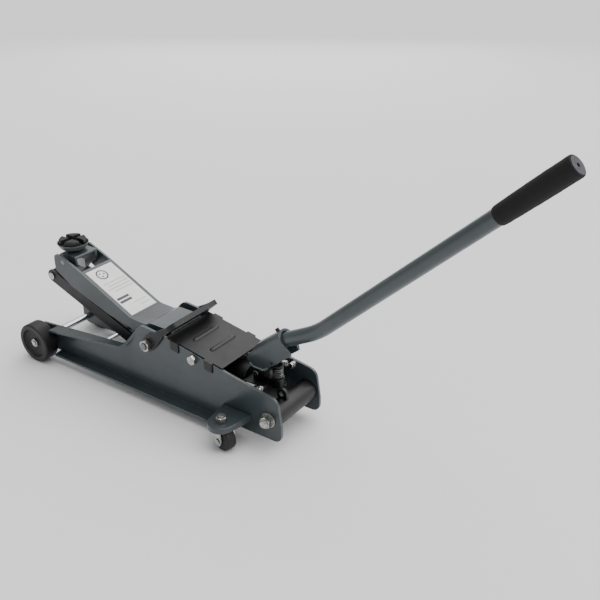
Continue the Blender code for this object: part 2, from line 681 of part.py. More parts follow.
# --- Lift linkage -----------------------------------------------------------------
def make_lift_arm():
    """The pressed channel that lifts the saddle, with its lever ears and pins."""
    x, z = ARM_PIVOT
    sheet = ARM_SHEET
    crown = [(468 * MM, 191 * MM), (345 * MM, 133 * MM), (310 * MM, 131.5 * MM), (297 * MM, 137.5 * MM)]
    tail_x, tail_z = x - 37 * MM, 137.5 * MM
    front = CARRIER_PIVOT[0] + 21 * MM
    ear = 12 * MM
    outline = rounded([
        (front, CARRIER_PIVOT[1] - 19 * MM, 6 * MM),
        (front, SADDLE_Z - 3 * MM, 8 * MM),
        (CARRIER_PIVOT[0] + 4 * MM, SADDLE_Z - 2.5 * MM, 8 * MM),
        (*crown[0], 9 * MM), (*crown[1], 30 * MM), (*crown[2], 12 * MM), (*crown[3], 8 * MM),
        (tail_x, tail_z, 8 * MM),
        (tail_x, z - 12 * MM, 10 * MM),
        (RAM_PIN[0] - ear - 1 * MM, RAM_PIN[1] - ear, ear),
        (RAM_PIN[0] + ear + 2 * MM, RAM_PIN[1] - ear, ear),
        (x + 14 * MM, z - 22 * MM, 10 * MM),
        (x + 52 * MM, z - 1 * MM, 25 * MM),
        (x + 117 * MM, z + 12 * MM, 30 * MM),
        (x + 211 * MM, z + 44 * MM, 30 * MM),
    ])
    arm = prism("lift_arm", outline, -ARM_HALF_WIDTH, ARM_HALF_WIDTH)
    below = 60 * MM
    hollow = [(front + 20 * MM, SADDLE_Z + below), (crown[0][0] - 3 * MM, SADDLE_Z + below),
              (crown[0][0] - 3 * MM, crown[0][1] - sheet - 1.4 * MM)]
    hollow += [(crown[1][0] + 6 * MM, crown[1][1] - sheet + 1.6 * MM), (crown[1][0] - 9 * MM, crown[1][1] - sheet - 0.6 * MM),
               (crown[2][0], crown[2][1] - sheet), (crown[3][0] - 2 * MM, crown[3][1] - sheet),
               (tail_x - 20 * MM, tail_z - sheet), (tail_x - 20 * MM, RAM_PIN[1] - below),
               (front + 20 * MM, RAM_PIN[1] - below)]
    combine(arm, prism("hollow", hollow, -ARM_IN, ARM_IN), "DIFFERENCE")
    reach = ARM_HALF_WIDTH + sheet
    for at, radius in ((ARM_PIVOT, MAIN_SHAFT_R), (CARRIER_PIVOT, PIN_R), (RAM_PIN, RAM_PIN_R)):
        bored(arm, at, radius + GAP, -reach, reach)
    fit(arm, "lift_arm_axis", "slate_paint")
    fit(cross_bar("carrier_pin", CARRIER_PIVOT, ARM_HALF_WIDTH - GAP, PIN_R), "lift_arm_axis", "steel")
    fit(cross_bar("ram_pin", RAM_PIN, WEB_IN - 2.5 * MM, RAM_PIN_R), "lift_arm_axis", "steel")


def make_links():
    """The two lower bars that keep the saddle level, and the pin at their front."""
    inner = ARM_IN - GAP - ARM_SHEET
    bar = prism("link_bar_left", capsule(LINK_ANCHOR, LINK_R, LINK_FRONT, LINK_R), inner, inner + ARM_SHEET)
    bored(bar, LINK_ANCHOR, PIN_R + GAP, 0, WEB_OUT)
    bored(bar, LINK_FRONT, LINK_PIN_R + GAP, 0, WEB_OUT)
    fit_pair(bar, "link_bar_right", "links_axis", "black_paint")
    seat = inner + ARM_SHEET + GAP
    head, head_r = 2.5 * MM, 7 * MM
    profile = [(0, -seat - head), (head_r, -seat - head), (head_r, -seat), (LINK_PIN_R, -seat),
               (LINK_PIN_R, seat), (head_r, seat), (head_r, seat + head), (0, seat + head)]
    pin = turned("link_pin", profile, (LINK_FRONT[0], 0, LINK_FRONT[1]), (0, 1, 0), SMALL_ROUND)
    fit(pin, "links_axis", "zinc")


def make_carrier():
    """The folded carrier between the arm and the links, with the saddle on top."""
    cheek = CARRIER_HALF_WIDTH
    sheet = ARM_SHEET
    rear, front = CARRIER_PIVOT[0] - 24 * MM, CARRIER_PIVOT[0] + 21 * MM
    outline = rounded([
        (rear, CARRIER_DECK, 3 * MM), (rear, CARRIER_PIVOT[1] - 6 * MM, 8 * MM),
        (LINK_FRONT[0] - 14 * MM, LINK_FRONT[1] - 10 * MM, 8 * MM),
        (LINK_FRONT[0] + 8 * MM, LINK_FRONT[1] - 10 * MM, 9 * MM),
        (LINK_FRONT[0] + 9 * MM, LINK_FRONT[1] + 8 * MM, 9 * MM),
        (front + 1 * MM, CARRIER_PIVOT[1] - 17 * MM, 8 * MM), (front, CARRIER_DECK, 10 * MM),
    ])
    carrier = prism("saddle_carrier", outline, -cheek, cheek)
    hollow = [(rear - 9 * MM, CARRIER_DECK - sheet), (front - sheet, CARRIER_DECK - sheet),
              (front - sheet, CARRIER_PIVOT[1] - 12 * MM), (front + 60 * MM, CARRIER_PIVOT[1] - 26 * MM),
              (front + 60 * MM, 0), (rear - 9 * MM, 0)]
    combine(carrier, prism("hollow", hollow, sheet - cheek, cheek - sheet), "DIFFERENCE")
    bored(carrier, CARRIER_PIVOT, PIN_R + GAP, -WEB_OUT, WEB_OUT)
    bored(carrier, LINK_FRONT, LINK_PIN_R + GAP, -WEB_OUT, WEB_OUT)
    boss = rod("boss", (SADDLE_X, 0, CARRIER_DECK - MM), (SADDLE_X, 0, SADDLE_Z), BOSS_R, sides=ROUND)
    combine(carrier, boss, "UNION")
    spigot_r = 6.5 * MM
    hole = rod("hole", (SADDLE_X, 0, CARRIER_DECK - 2 * sheet), (SADDLE_X, 0, SADDLE_Z + sheet), spigot_r + GAP)
    combine(carrier, hole, "DIFFERENCE")
    fit(carrier, "carrier_axis", "slate_paint")

    seat = GAP
    floor = seat + 4 * MM
    spigot = CARRIER_PIVOT[1] + PIN_R + 1.5 * MM - SADDLE_Z
    profile = [(0, spigot), (spigot_r, spigot), (spigot_r, seat), (CUP_R - 7 * MM, seat), (CUP_R - 5 * MM, seat + 2 * MM),
               (CUP_R, CUP_RIM), (PAD_R + 2.2 * MM, CUP_RIM), (PAD_R + 0.6 * MM, floor), (0, floor)]
    fit(turned("saddle_cup", profile, (SADDLE_X, 0, SADDLE_Z), (0, 0, 1)), "saddle_axis", "slate_paint")
    low, groove = floor + GAP, PAD_TOP - 9 * MM
    profile = [(0, low), (PAD_R, low), (PAD_R, PAD_TOP - 2 * MM), (PAD_R - 2 * MM, PAD_TOP), (0, PAD_TOP)]
    pad = turned("saddle_pad", profile, (SADDLE_X, 0, SADDLE_Z), (0, 0, 1))
    floor_z, above = SADDLE_Z + groove, SADDLE_Z + PAD_TOP + 5 * MM
    for a, b in ((PAD_GROOVE / 2, 2 * PAD_R), (2 * PAD_R, PAD_GROOVE / 2)):
        cut = [(SADDLE_X - a, -b), (SADDLE_X + a, -b), (SADDLE_X + a, b), (SADDLE_X - a, b)]
        combine(pad, prism("groove", cut, floor_z, above, "Z"), "DIFFERENCE")
    fit(pad, "saddle_axis", "rubber")


# --- Handle and pump --------------------------------------------------------------
def in_socket(along, above):
    """World (x, z) of a point given along the socket, downwards, and above its axis."""
    cosine, sine = math.cos(SOCKET_ANGLE), math.sin(SOCKET_ANGLE)
    return (SOCKET_AT[0] + along * cosine + above * sine, SOCKET_AT[1] - along * sine + above * cosine)


def make_socket():
    """The pressed socket that holds the handle, its yoke, roller and set screw."""
    inner = SOCKET_R - SOCKET_WALL
    steps = 12
    arc = [(math.cos(math.pi * step / steps), math.sin(math.pi * step / steps)) for step in range(steps + 1)]
    sections = []
    for along, skirt in ((-30 * MM, SOCKET_PINCH), (30 * MM, inner), (95 * MM, inner)):
        section = [(SOCKET_R * a, SOCKET_R * b) for a, b in arc]
        section += [(-skirt - SOCKET_WALL, -SOCKET_SKIRT), (-skirt, -SOCKET_SKIRT)]
        section += [(inner * a, inner * b) for a, b in reversed(arc)]
        section += [(skirt, -SOCKET_SKIRT), (skirt + SOCKET_WALL, -SOCKET_SKIRT)]
        sections.append([(in_socket(along, above)[0], y, in_socket(along, above)[1]) for y, above in section])
    socket = loft("handle_socket", sections)
    top = SOCKET_R + MM
    lip, tip, low = 8 * MM, 80 * MM, SOCKET_SKIRT + MM
    side_view = rounded([
        (-lip, top, 0), (tip * 0.52, top, 10 * MM), (tip + 2 * MM, top - 14 * MM, 8 * MM),
        (tip - 4 * MM, -14 * MM, 14 * MM), (tip - 22 * MM, -low, 14 * MM),
        (-lip + 2 * MM, -low, 3 * MM), (-lip, -low * 0.7, 6 * MM),
    ])
    trim = prism("trim", [in_socket(*pair) for pair in side_view], -2 * SOCKET_R, 2 * SOCKET_R)
    combine(socket, trim, "INTERSECT")

    screw_at = 1 * MM
    screw_r = 3.5 * MM
    base, head = in_socket(screw_at, inner - 0.3 * MM), in_socket(screw_at, SOCKET_R + 5 * MM)
    screw = rod("set_screw", (base[0], 0, base[1]), (head[0], 0, head[1]), screw_r)
    deep, high = in_socket(screw_at, 0), in_socket(screw_at, 2 * SOCKET_R)
    combine(socket, rod("bore", (deep[0], 0, deep[1]), (high[0], 0, high[1]), screw_r + GAP), "DIFFERENCE")
    roller_at = (PLUNGER_X, ROLLER_Z)
    pin_r = 3 * MM
    bored(socket, roller_at, pin_r + GAP, -2 * SOCKET_R, 2 * SOCKET_R)
    fit(socket, "handle_axis", "slate_paint")
    fit(screw, "handle_axis", "black_paint")

    roller_half = inner - 2 * GAP
    end = SOCKET_R - GAP
    profile = [(0, -end), (pin_r, -end), (pin_r, -roller_half), (PLUNGER_R, -roller_half),
               (PLUNGER_R, roller_half), (pin_r, roller_half), (pin_r, end), (0, end)]
    roller = turned("pump_roller", profile, (roller_at[0], 0, roller_at[1]), (0, 1, 0), SMALL_ROUND)
    fit(roller, "handle_axis", "black_paint")

    lug_out = inner - GAP
    lug_in = HANDLE_R - 4 * MM
    lobe = 11 * MM
    outline = [in_socket(48 * MM, 1 * MM), in_socket(tip - 8 * MM, -2 * MM)]
    angle = SOCKET_ANGLE
    for step in range(9):
        turn = 0.3 - angle - math.pi * step / 8
        outline.append((HANDLE_PIVOT[0] + lobe * math.cos(turn), HANDLE_PIVOT[1] + lobe * math.sin(turn)))
    outline.append(in_socket(48 * MM, -18 * MM))
    yoke = prism("handle_yoke", outline, -lug_out, lug_out)
    gap_top = [in_socket(30 * MM, -6 * MM), in_socket(tip + 20 * MM, -6 * MM),
               (HANDLE_PIVOT[0] + 30 * MM, HANDLE_PIVOT[1] - 30 * MM), (HANDLE_PIVOT[0] - 60 * MM, HANDLE_PIVOT[1] - 30 * MM)]
    combine(yoke, prism("between", gap_top, -lug_in, lug_in), "DIFFERENCE")
    bored(yoke, HANDLE_PIVOT, PIN_R + GAP, -WEB_OUT, WEB_OUT)
    fit(yoke, "handle_axis", "black_paint")
    fit(cross_bar("handle_pivot_pin", HANDLE_PIVOT, SOCKET_R, PIN_R), "frame", "zinc")


def handle_path():
    """The handle's centre line from its foot in the socket, over two bends, to its end."""
    corners = [(*in_socket(42 * MM, 0), 0), (*SOCKET_AT, 120 * MM), (*BEND_AT, 160 * MM), (*handle_end(4 * MM), 0)]
    path = [corners[0][:2]]
    for index in (1, 2):
        path += rounded([corners[index - 1], corners[index], corners[index + 1]], 4)[1:-1]
    return path + [corners[3][:2]]


def handle_end(short):
    """A point on the handle's axis, short of the grip's end."""
    return (GRIP_END[0] + short * math.cos(HANDLE_ANGLE), GRIP_END[1] - short * math.sin(HANDLE_ANGLE))


def make_handle():
    """The bent tube and the foam grip on its end."""
    path = handle_path()
    outer, inner = [], []
    for index, (x, z) in enumerate(path):
        before, after = path[max(index - 1, 0)], path[min(index + 1, len(path) - 1)]
        heading = Vector((after[0] - before[0], after[1] - before[1])).normalized()
        for ring, radius in ((outer, HANDLE_R), (inner, HANDLE_R - HANDLE_WALL)):
            section = []
            for step in range(TUBE_SIDES):
                angle = 2 * math.pi * step / TUBE_SIDES
                lift = radius * math.cos(angle)
                section.append((x - heading.y * lift, radius * math.sin(angle), z + heading.x * lift))
            ring.append(section)
    fit(loft("handle_tube", outer + inner[::-1], closed=True), "handle_axis", "slate_paint")

    foot = handle_end(GRIP_LENGTH)
    bore, hole = HANDLE_R + GAP, 2.5 * MM
    cap = 4 * MM - GAP
    profile = [(bore, 0), (13.4 * MM, 0), (14.2 * MM, 4 * MM), (GRIP_R, GRIP_LENGTH * 0.6), (GRIP_R, GRIP_LENGTH - GRIP_EDGE),
               (GRIP_R - GRIP_EDGE, GRIP_LENGTH), (hole, GRIP_LENGTH), (hole, GRIP_LENGTH - cap), (bore, GRIP_LENGTH - cap)]
    heading = (-math.cos(HANDLE_ANGLE), 0, math.sin(HANDLE_ANGLE))
    grip = turned("handle_grip", profile, (foot[0], 0, foot[1]), heading, 24)
    fit(grip, "handle_axis", "foam")


def make_pump():
    """The pump plunger and the spring that lifts it."""
    head, head_r = 4 * MM, 9.2 * MM
    length = PLUNGER_TOP - (BLOCK_Z[1] - 7 * MM)
    profile = [(0, -length), (PLUNGER_R, -length), (PLUNGER_R, -head), (head_r, -head), (head_r, -MM),
               (head_r - MM, 0), (0, 0)]
    plunger = turned("pump_plunger", profile, (PLUNGER_X, 0, PLUNGER_TOP), (0, 0, 1), 24)
    fit(plunger, "plunger_axis", "black_paint")
    spring = rod("pump_spring", (PLUNGER_X, 0, SLEEVE_TOP + GAP), (PLUNGER_X, 0, PLUNGER_TOP - head - GAP),
                 head_r, PLUNGER_R + 2 * GAP)
    fit(spring, "plunger_axis", "steel")


# --- Wheels -----------------------------------------------------------------------
def make_front_wheels():
    """The two solid front wheels, each dished around its axle nut."""
    width, rim = FRONT_WHEEL_WIDTH, FRONT_WHEEL_R
    bore = AXLE_R + GAP
    dish, dish_r = 7 * MM, 24 * MM
    profile = [(bore, 0), (rim - 3 * MM, 0), (rim, 2.5 * MM), (rim, width - 2.5 * MM), (rim - 3 * MM, width),
               (dish_r + 3 * MM, width), (dish_r, width - dish), (bore, width - dish - 1 * MM)]
    wheel = turned("front_wheel_left", profile, (AXLE_X, wheel_inner(), AXLE_Z), (0, 1, 0))
    fit_pair(wheel, "front_wheel_right", "front_left_axis", "black_plastic", "front_right_axis")


def about_swivel(piece):
    """Turn a caster piece about its swivel axis to where it trails at rest."""
    spot = Vector((CASTER_X, caster_y(), 0))
    turn = Matrix.Translation(spot) @ Matrix.Rotation(-CASTER_YAW, 4, "Z") @ Matrix.Translation(-spot)
    piece.data.transform(turn)
    return piece


def make_casters():
    """Both rear casters: bracket, fork with its stem and nut, wheel and wheel pin."""
    x, y = CASTER_X, caster_y()
    side = WEB_OUT + GAP

    def bracket_plan(inset, edge):
        sweep = [(x + (BRACKET_R - inset) * math.cos(math.pi * step / 12),
                  y + (BRACKET_R - inset) * math.sin(math.pi * step / 12)) for step in range(13)]
        return [(x + BRACKET_HALF - inset, edge)] + sweep + [(x - BRACKET_HALF + inset, edge)]

    bracket = prism("caster_bracket_left", bracket_plan(0, side), BRACKET_TOP - SHEET - BRACKET_SKIRT, BRACKET_TOP, "Z")
    hollow = prism("hollow", bracket_plan(SHEET, side - PLATE), 0, BRACKET_TOP - SHEET, "Z")
    combine(bracket, hollow, "DIFFERENCE")
    stem_r = 5 * MM
    bore = rod("bore", (x, y, 0), (x, y, 2 * BRACKET_TOP), stem_r + GAP)
    combine(bracket, bore, "DIFFERENCE")
    fit_pair(bracket, "caster_bracket_right", "frame", "slate_paint")

    plate_top_z = BRACKET_TOP - SHEET - 2 * MM
    plate_low = plate_top_z - 2.5 * MM
    inner = CASTER_WIDTH / 2 + SIDE_PLAY
    outer = inner + SHEET
    fork = rod("caster_fork_left", (x, y, plate_low), (x, y, plate_top_z), 16 * MM, sides=ROUND)
    hub = (x - CASTER_TRAIL, CASTER_R)
    leg = rounded([(x + 9 * MM, plate_top_z - GAP, 2 * MM), (x - 10 * MM, plate_top_z - GAP, 2 * MM),
                   (hub[0] - 9 * MM, CASTER_R + 2 * MM, 4 * MM), (hub[0] - 6 * MM, CASTER_R - 8 * MM, 6 * MM),
                   (hub[0] + 6 * MM, CASTER_R - 8 * MM, 6 * MM)])
    for low, high in ((y + inner, y + outer), (y - outer, y - inner)):
        combine(fork, prism("leg", leg, low, high), "UNION")
    collar = rod("collar", (x, y, plate_top_z - MM), (x, y, BRACKET_TOP - SHEET - GAP), 11 * MM)
    combine(fork, collar, "UNION")
    combine(fork, rod("stem", (x, y, plate_low + GAP), (x, y, BRACKET_TOP + 12 * MM), stem_r), "UNION")
    pin_r = 3 * MM
    bored(fork, hub, pin_r + GAP, y - 2 * outer, y + 2 * outer)
    fit_pair(about_swivel(fork), "caster_fork_right", "swivel_left_axis", "zinc", "swivel_right_axis")

    nut = hex_nut("caster_nut_left", (x, y, BRACKET_TOP + GAP), (0, 0, 1), 16 * MM, 9 * MM, stem_r + GAP)
    fit_pair(about_swivel(nut), "caster_nut_right", "swivel_left_axis", "zinc", "swivel_right_axis")

    half = CASTER_WIDTH / 2
    wheel_bore = pin_r + GAP
    profile = [(wheel_bore, -half), (CASTER_R * 0.5, -half), (CASTER_R - 2.5 * MM, -half + 1.5 * MM),
               (CASTER_R, -half + 4 * MM), (CASTER_R, half - 4 * MM), (CASTER_R - 2.5 * MM, half - 1.5 * MM),
               (CASTER_R * 0.5, half), (wheel_bore, half)]
    wheel = turned("caster_wheel_left", profile, (hub[0], y, CASTER_R), (0, 1, 0))
    fit_pair(about_swivel(wheel), "caster_wheel_right", "caster_left_axis", "rubber", "caster_right_axis")

    head_r, head = 5 * MM, 2 * MM
    seat = outer + GAP
    profile = [(0, -seat - head), (head_r, -seat - head), (head_r, -seat), (pin_r, -seat), (pin_r, seat),
               (head_r, seat), (head_r, seat + head), (0, seat + head)]
    pin = turned("caster_pin_left", profile, (hub[0], y, CASTER_R), (0, 1, 0), SMALL_ROUND)
    fit_pair(about_swivel(pin), "caster_pin_right", "swivel_left_axis", "zinc", "swivel_right_axis")


def build():
    """Clear the scene and make the jack."""
    for leftover in list(bpy.data.objects):
        bpy.data.objects.remove(leftover)
    make_bodies()
    make_side_plates()
    make_shafts()
    make_tube_eye()
    make_return_springs()
    make_cover()
    make_carry_handle()
    make_hydraulics()
    make_lift_arm()
    make_links()
    make_carrier()
    make_socket()
    make_handle()
    make_pump()
    make_front_wheels()
    make_casters()
    bpy.context.view_layer.update()


build()
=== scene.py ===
"""Looks of a hydraulic trolley jack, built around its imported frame.

Each sub-assembly is a class that makes fine meshes where the frame's own solids lie and
dresses them in procedural finishes. Lengths are in metres; +X points to the saddle.
"""

import logging
import math
from dataclasses import dataclass, field
from enum import Enum

import bmesh
import bpy
from mathutils import Matrix, Vector
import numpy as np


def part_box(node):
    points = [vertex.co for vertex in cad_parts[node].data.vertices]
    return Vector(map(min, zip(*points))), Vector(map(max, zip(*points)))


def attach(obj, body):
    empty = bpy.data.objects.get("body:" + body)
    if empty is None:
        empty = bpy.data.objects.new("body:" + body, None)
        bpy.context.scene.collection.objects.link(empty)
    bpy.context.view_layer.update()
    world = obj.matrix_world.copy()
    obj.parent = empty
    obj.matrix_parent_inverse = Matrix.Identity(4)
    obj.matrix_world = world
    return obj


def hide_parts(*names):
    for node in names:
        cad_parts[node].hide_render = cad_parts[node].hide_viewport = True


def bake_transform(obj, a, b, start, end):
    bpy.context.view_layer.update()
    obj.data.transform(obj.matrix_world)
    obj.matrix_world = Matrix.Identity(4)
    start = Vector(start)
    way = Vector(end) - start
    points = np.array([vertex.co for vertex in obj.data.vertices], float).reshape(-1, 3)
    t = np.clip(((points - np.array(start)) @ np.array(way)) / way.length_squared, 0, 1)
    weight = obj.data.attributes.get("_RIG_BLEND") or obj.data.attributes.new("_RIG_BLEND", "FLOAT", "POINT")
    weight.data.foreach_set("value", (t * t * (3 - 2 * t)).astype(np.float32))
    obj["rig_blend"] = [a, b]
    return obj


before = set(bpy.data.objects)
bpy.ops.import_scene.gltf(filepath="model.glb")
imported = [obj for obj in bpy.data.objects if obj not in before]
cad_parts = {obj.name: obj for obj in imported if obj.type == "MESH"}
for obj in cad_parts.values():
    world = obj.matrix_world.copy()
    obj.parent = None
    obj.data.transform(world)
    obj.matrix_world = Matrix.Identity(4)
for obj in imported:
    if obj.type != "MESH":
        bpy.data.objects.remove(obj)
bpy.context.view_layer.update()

LOG = logging.getLogger("trolley_jack")
MM = 0.001
PLATE_TAIL = 2.5 * MM      # the plates' rear edge, from the jack's own zero
REAR_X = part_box("side_plate_left")[0].x - PLATE_TAIL
SIDES = 64
PIN_SIDES = 40


def at(x: float, y: float, z: float) -> Vector:
    """The frame's point for millimetres measured from the rear of the side plates."""
    return Vector((REAR_X + x * MM, y * MM, z * MM))


class Slot(Enum):
    """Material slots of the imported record."""
    SLATE = "slate_paint"
    BLACK = "black_paint"
    PLASTIC = "black_plastic"
    RUBBER = "rubber"
    ZINC = "zinc"
    CHROME = "chrome"
    STEEL = "steel"
    FOAM = "foam"


# --- Finishes -----------------------------------------------------------------------
def linear(code: str) -> tuple[float, float, float, float]:
    """Turn an sRGB hex colour into linear light.

    Args:
        code: six hex digits.

    Returns:
        Red, green, blue and full alpha.
    """
    channels = [int(code[index:index + 2], 16) / 255 for index in (0, 2, 4)]
    low_end, low_slope = 0.04045, 12.92
    return (*[c / low_slope if c <= low_end else ((c + 0.055) / 1.055) ** 2.4 for c in channels], 1.0)


def add(tree: bpy.types.NodeTree, kind: str, settings: dict | None = None,
        links: dict | None = None, **properties: object) -> bpy.types.Node:
    """Add one shader node.

    Args:
        tree: the material's node tree.
        kind: the node's type, without its ShaderNode prefix.
        settings: input name or number to constant.
        links: input name or number to the output that feeds it.
        properties: the node's own options.

    Returns:
        The new node.
    """
    node = tree.nodes.new("ShaderNode" + kind)
    for name, value in properties.items():
        setattr(node, name, value)
    for socket, value in (settings or {}).items():
        node.inputs[socket].default_value = value
    for socket, source in (links or {}).items():
        tree.links.new(source, node.inputs[socket])
    return node


@dataclass(frozen=True)
class Finish:
    """A surface of two close tones, with a grain and places that shine less."""
    name: str
    colour: str
    tone: str
    roughness: float
    metallic: float = 0.0
    ior: float = 1.5
    tone_mm: float = 45.0
    grain_mm: float = 1.4
    grain_depth_mm: float = 0.03
    spread: float = 0.08
    stretch: tuple[float, float, float] = (1.0, 1.0, 1.0)
    coat: float = 0.0
    # Colour and strength of the lightened edges: partly wear, partly a painted highlight.
    edge_wear_and_highlight_colour: str = ""
    edge_wear_and_highlight: float = 0.0
    edge_mm: float = 0.9

    def build(self) -> bpy.types.Material:
        """Make the finish's material.

        Returns:
            The material, made once for each name.
        """
        made = bpy.data.materials.get(self.name)
        if made:
            return made
        made = bpy.data.materials.new(self.name)
        made.use_nodes = True
        tree = made.node_tree
        shader = tree.nodes["Principled BSDF"]
        place = add(tree, "TexCoord").outputs["Object"]
        spot = add(tree, "Mapping", {"Scale": self.stretch}, {"Vector": place}).outputs["Vector"]
        broad = add(tree, "TexNoise", {"Scale": 1 / (self.tone_mm * MM), "Detail": 5.0, "Roughness": 0.6},
                    {"Vector": spot}).outputs["Fac"]
        share = add(tree, "MapRange", {"From Min": 0.36, "From Max": 0.64}, {"Value": broad})
        mixed = add(tree, "Mix", {6: linear(self.colour), 7: linear(self.tone)},
                    {0: share.outputs["Result"]}, data_type="RGBA")
        colour = mixed.outputs[2]
        fine = add(tree, "TexNoise", {"Scale": 1 / (self.grain_mm * MM), "Detail": 3.0, "Roughness": 0.55},
                   {"Vector": spot}).outputs["Fac"]
        limits = {"From Min": 0.3, "From Max": 0.7, "To Min": self.roughness - self.spread,
                  "To Max": self.roughness + self.spread}
        rough = add(tree, "MapRange", limits, {"Value": broad}).outputs["Result"]
        # Lightened edges: partly wear, partly a painted highlight along them.
        if self.edge_wear_and_highlight:
            colour, rough = self.rub_and_highlight_edges(tree, place, colour, rough)
        bump = add(tree, "Bump", {"Strength": 0.6, "Distance": self.grain_depth_mm * MM}, {"Height": fine})
        sources = {"Base Color": colour, "Roughness": rough, "Normal": bump.outputs["Normal"]}
        for socket, source in sources.items():
            tree.links.new(source, shader.inputs[socket])
        shader.inputs["Metallic"].default_value = self.metallic
        if self.metallic < 1:
            shader.inputs["IOR"].default_value = self.ior
        if self.coat:
            shader.inputs["Coat Weight"].default_value = self.coat
            shader.inputs["Coat Roughness"].default_value = 0.12
        return made

    def rub_and_highlight_edges(self, tree: bpy.types.NodeTree, place: bpy.types.NodeSocket, colour: bpy.types.NodeSocket,
            rough: bpy.types.NodeSocket) -> tuple[bpy.types.NodeSocket, bpy.types.NodeSocket]:
        """Lighten the edges, partly as wear where handling rubs the finish thin and partly as a painted
        highlight along them.

        Args:
            tree: the material's node tree.
            place: object coordinates.
            colour: the colour so far.
            rough: the roughness so far.

        Returns:
            The colour and the roughness with the worn and painted-highlight edges.
        """
        soft = add(tree, "Bevel", {"Radius": self.edge_mm * MM}, samples=4).outputs["Normal"]
        flat = add(tree, "NewGeometry").outputs["Normal"]
        turn = add(tree, "VectorMath", None, {0: soft, 1: flat}, operation="DOT_PRODUCT").outputs["Value"]
        edge = add(tree, "MapRange", {"From Min": 0.995, "From Max": 0.90, "To Max": self.edge_wear_and_highlight},
                   {"Value": turn}).outputs["Result"]
        patch_mm = 7.0
        ragged = add(tree, "TexNoise", {"Scale": 1 / (patch_mm * MM), "Detail": 6.0}, {"Vector": place})
        keep = add(tree, "MapRange", {"From Min": 0.38, "From Max": 0.6}, {"Value": ragged.outputs["Fac"]})
        product = add(tree, "Math", None, {0: edge, 1: keep.outputs["Result"]}, operation="MULTIPLY")
        mask = product.outputs["Value"]
        mixed = add(tree, "Mix", {7: linear(self.edge_wear_and_highlight_colour)}, {0: mask, 6: colour}, data_type="RGBA")
        smooth = add(tree, "Mix", {3: 0.3}, {0: mask, 2: rough}, data_type="FLOAT")
        return mixed.outputs[2], smooth.outputs[0]


# Stoved enamel on pressed steel: a calm satin with faint orange peel.
SLATE = Finish("slate_enamel", "353F43", "2D3639", 0.34, ior=1.52, tone_mm=70, grain_mm=1.6,
               grain_depth_mm=0.035, spread=0.05, coat=0.25, edge_wear_and_highlight_colour="9AA3A6", edge_wear_and_highlight=0.55)
# The same enamel on the saddle's cast cup, which is rubbed more, with a stronger painted highlight on its
# lightened edges.
CUP = Finish("rubbed_slate_enamel", "49524F", "3A4241", 0.38, ior=1.52, tone_mm=22, grain_mm=1.1,
             grain_depth_mm=0.05, spread=0.08, coat=0.15, edge_wear_and_highlight_colour="A9B0B2", edge_wear_and_highlight=0.8)
# Air-dried black enamel on straps and bars: deeper, with a soft sheen.
BLACK = Finish("black_enamel", "09090B", "060607", 0.44, tone_mm=40, grain_mm=1.3,
               grain_depth_mm=0.04, spread=0.07, edge_wear_and_highlight_colour="55575A", edge_wear_and_highlight=0.4)
# Injection-moulded polyamide wheels: matte, with a fine spark-eroded grain.
POLYAMIDE = Finish("moulded_polyamide", "0B0B0C", "08080A", 0.52, ior=1.53, tone_mm=28, grain_mm=0.8,
                   grain_depth_mm=0.05, spread=0.06, edge_wear_and_highlight_colour="4A4B49", edge_wear_and_highlight=0.4)
# Moulded rubber: dull and a little dusty.
RUBBER = Finish("moulded_rubber", "0B0B0C", "111112", 0.62, ior=1.52, tone_mm=14, grain_mm=0.7,
                grain_depth_mm=0.06, spread=0.1)
# Bright zinc plate, clouded a little by its passivation.
ZINC = Finish("passivated_zinc", "BEBEBA", "9D9C97", 0.27, metallic=1.0, tone_mm=9, grain_mm=0.5,
              grain_depth_mm=0.012, spread=0.08, edge_wear_and_highlight_colour="DDDCD6", edge_wear_and_highlight=0.5)
# Hard chrome over ground bar: near mirror, with a slight haze.
CHROME = Finish("hard_chrome", "C2C4C8", "AEB0B5", 0.16, metallic=1.0, tone_mm=60, grain_mm=0.8,
                grain_depth_mm=0.002, spread=0.04)
# Bright drawn steel, lightly oiled.
STEEL = Finish("drawn_steel", "8B8B8A", "6F6F6E", 0.36, metallic=1.0, tone_mm=16, grain_mm=0.5,
               grain_depth_mm=0.015, spread=0.1, stretch=(0.3, 3.0, 1.0))
# Closed-cell foam sleeve: very dull, with pores of under a millimetre.
FOAM = Finish("closed_cell_foam", "0D0D0F", "131315", 0.82, ior=1.45, tone_mm=12, grain_mm=0.9,
              grain_depth_mm=0.22, spread=0.05)
# The foam's cut end: paler, because its cells are sliced open.
CUT_FOAM = Finish("cut_foam", "57555C", "4A484F", 0.88, ior=1.45, tone_mm=5, grain_mm=0.8,
                  grain_depth_mm=0.2, spread=0.04)
# Coated paper label: white, smooth and slightly yellowed.
PAPER = Finish("coated_paper", "F1F0EE", "E8E7E5", 0.42, ior=1.49, tone_mm=25, grain_mm=0.6,
               grain_depth_mm=0.006, spread=0.05)
# Black-violet printing ink on the label.
INK = Finish("printing_ink", "4C4650", "3A3440", 0.5, ior=1.48, tone_mm=6, grain_mm=0.5, grain_depth_mm=0.004)
# Thin grey print, as fine text looks from afar.
FAINT_INK = Finish("faint_ink", "C9C6CB", "BBB7BE", 0.5, ior=1.48, tone_mm=6, grain_mm=0.5,
                   grain_depth_mm=0.004)
# Weld metal under a thin coat of enamel, coloured lighter than the enamel as a painted highlight for the
# ripples that catch the light.
WELD_PAINTED_HIGHLIGHT = Finish("weld_painted_highlight", "7C8486", "596163", 0.3, metallic=0.35, tone_mm=5, grain_mm=0.8,
              grain_depth_mm=0.05, spread=0.1, coat=0.3)


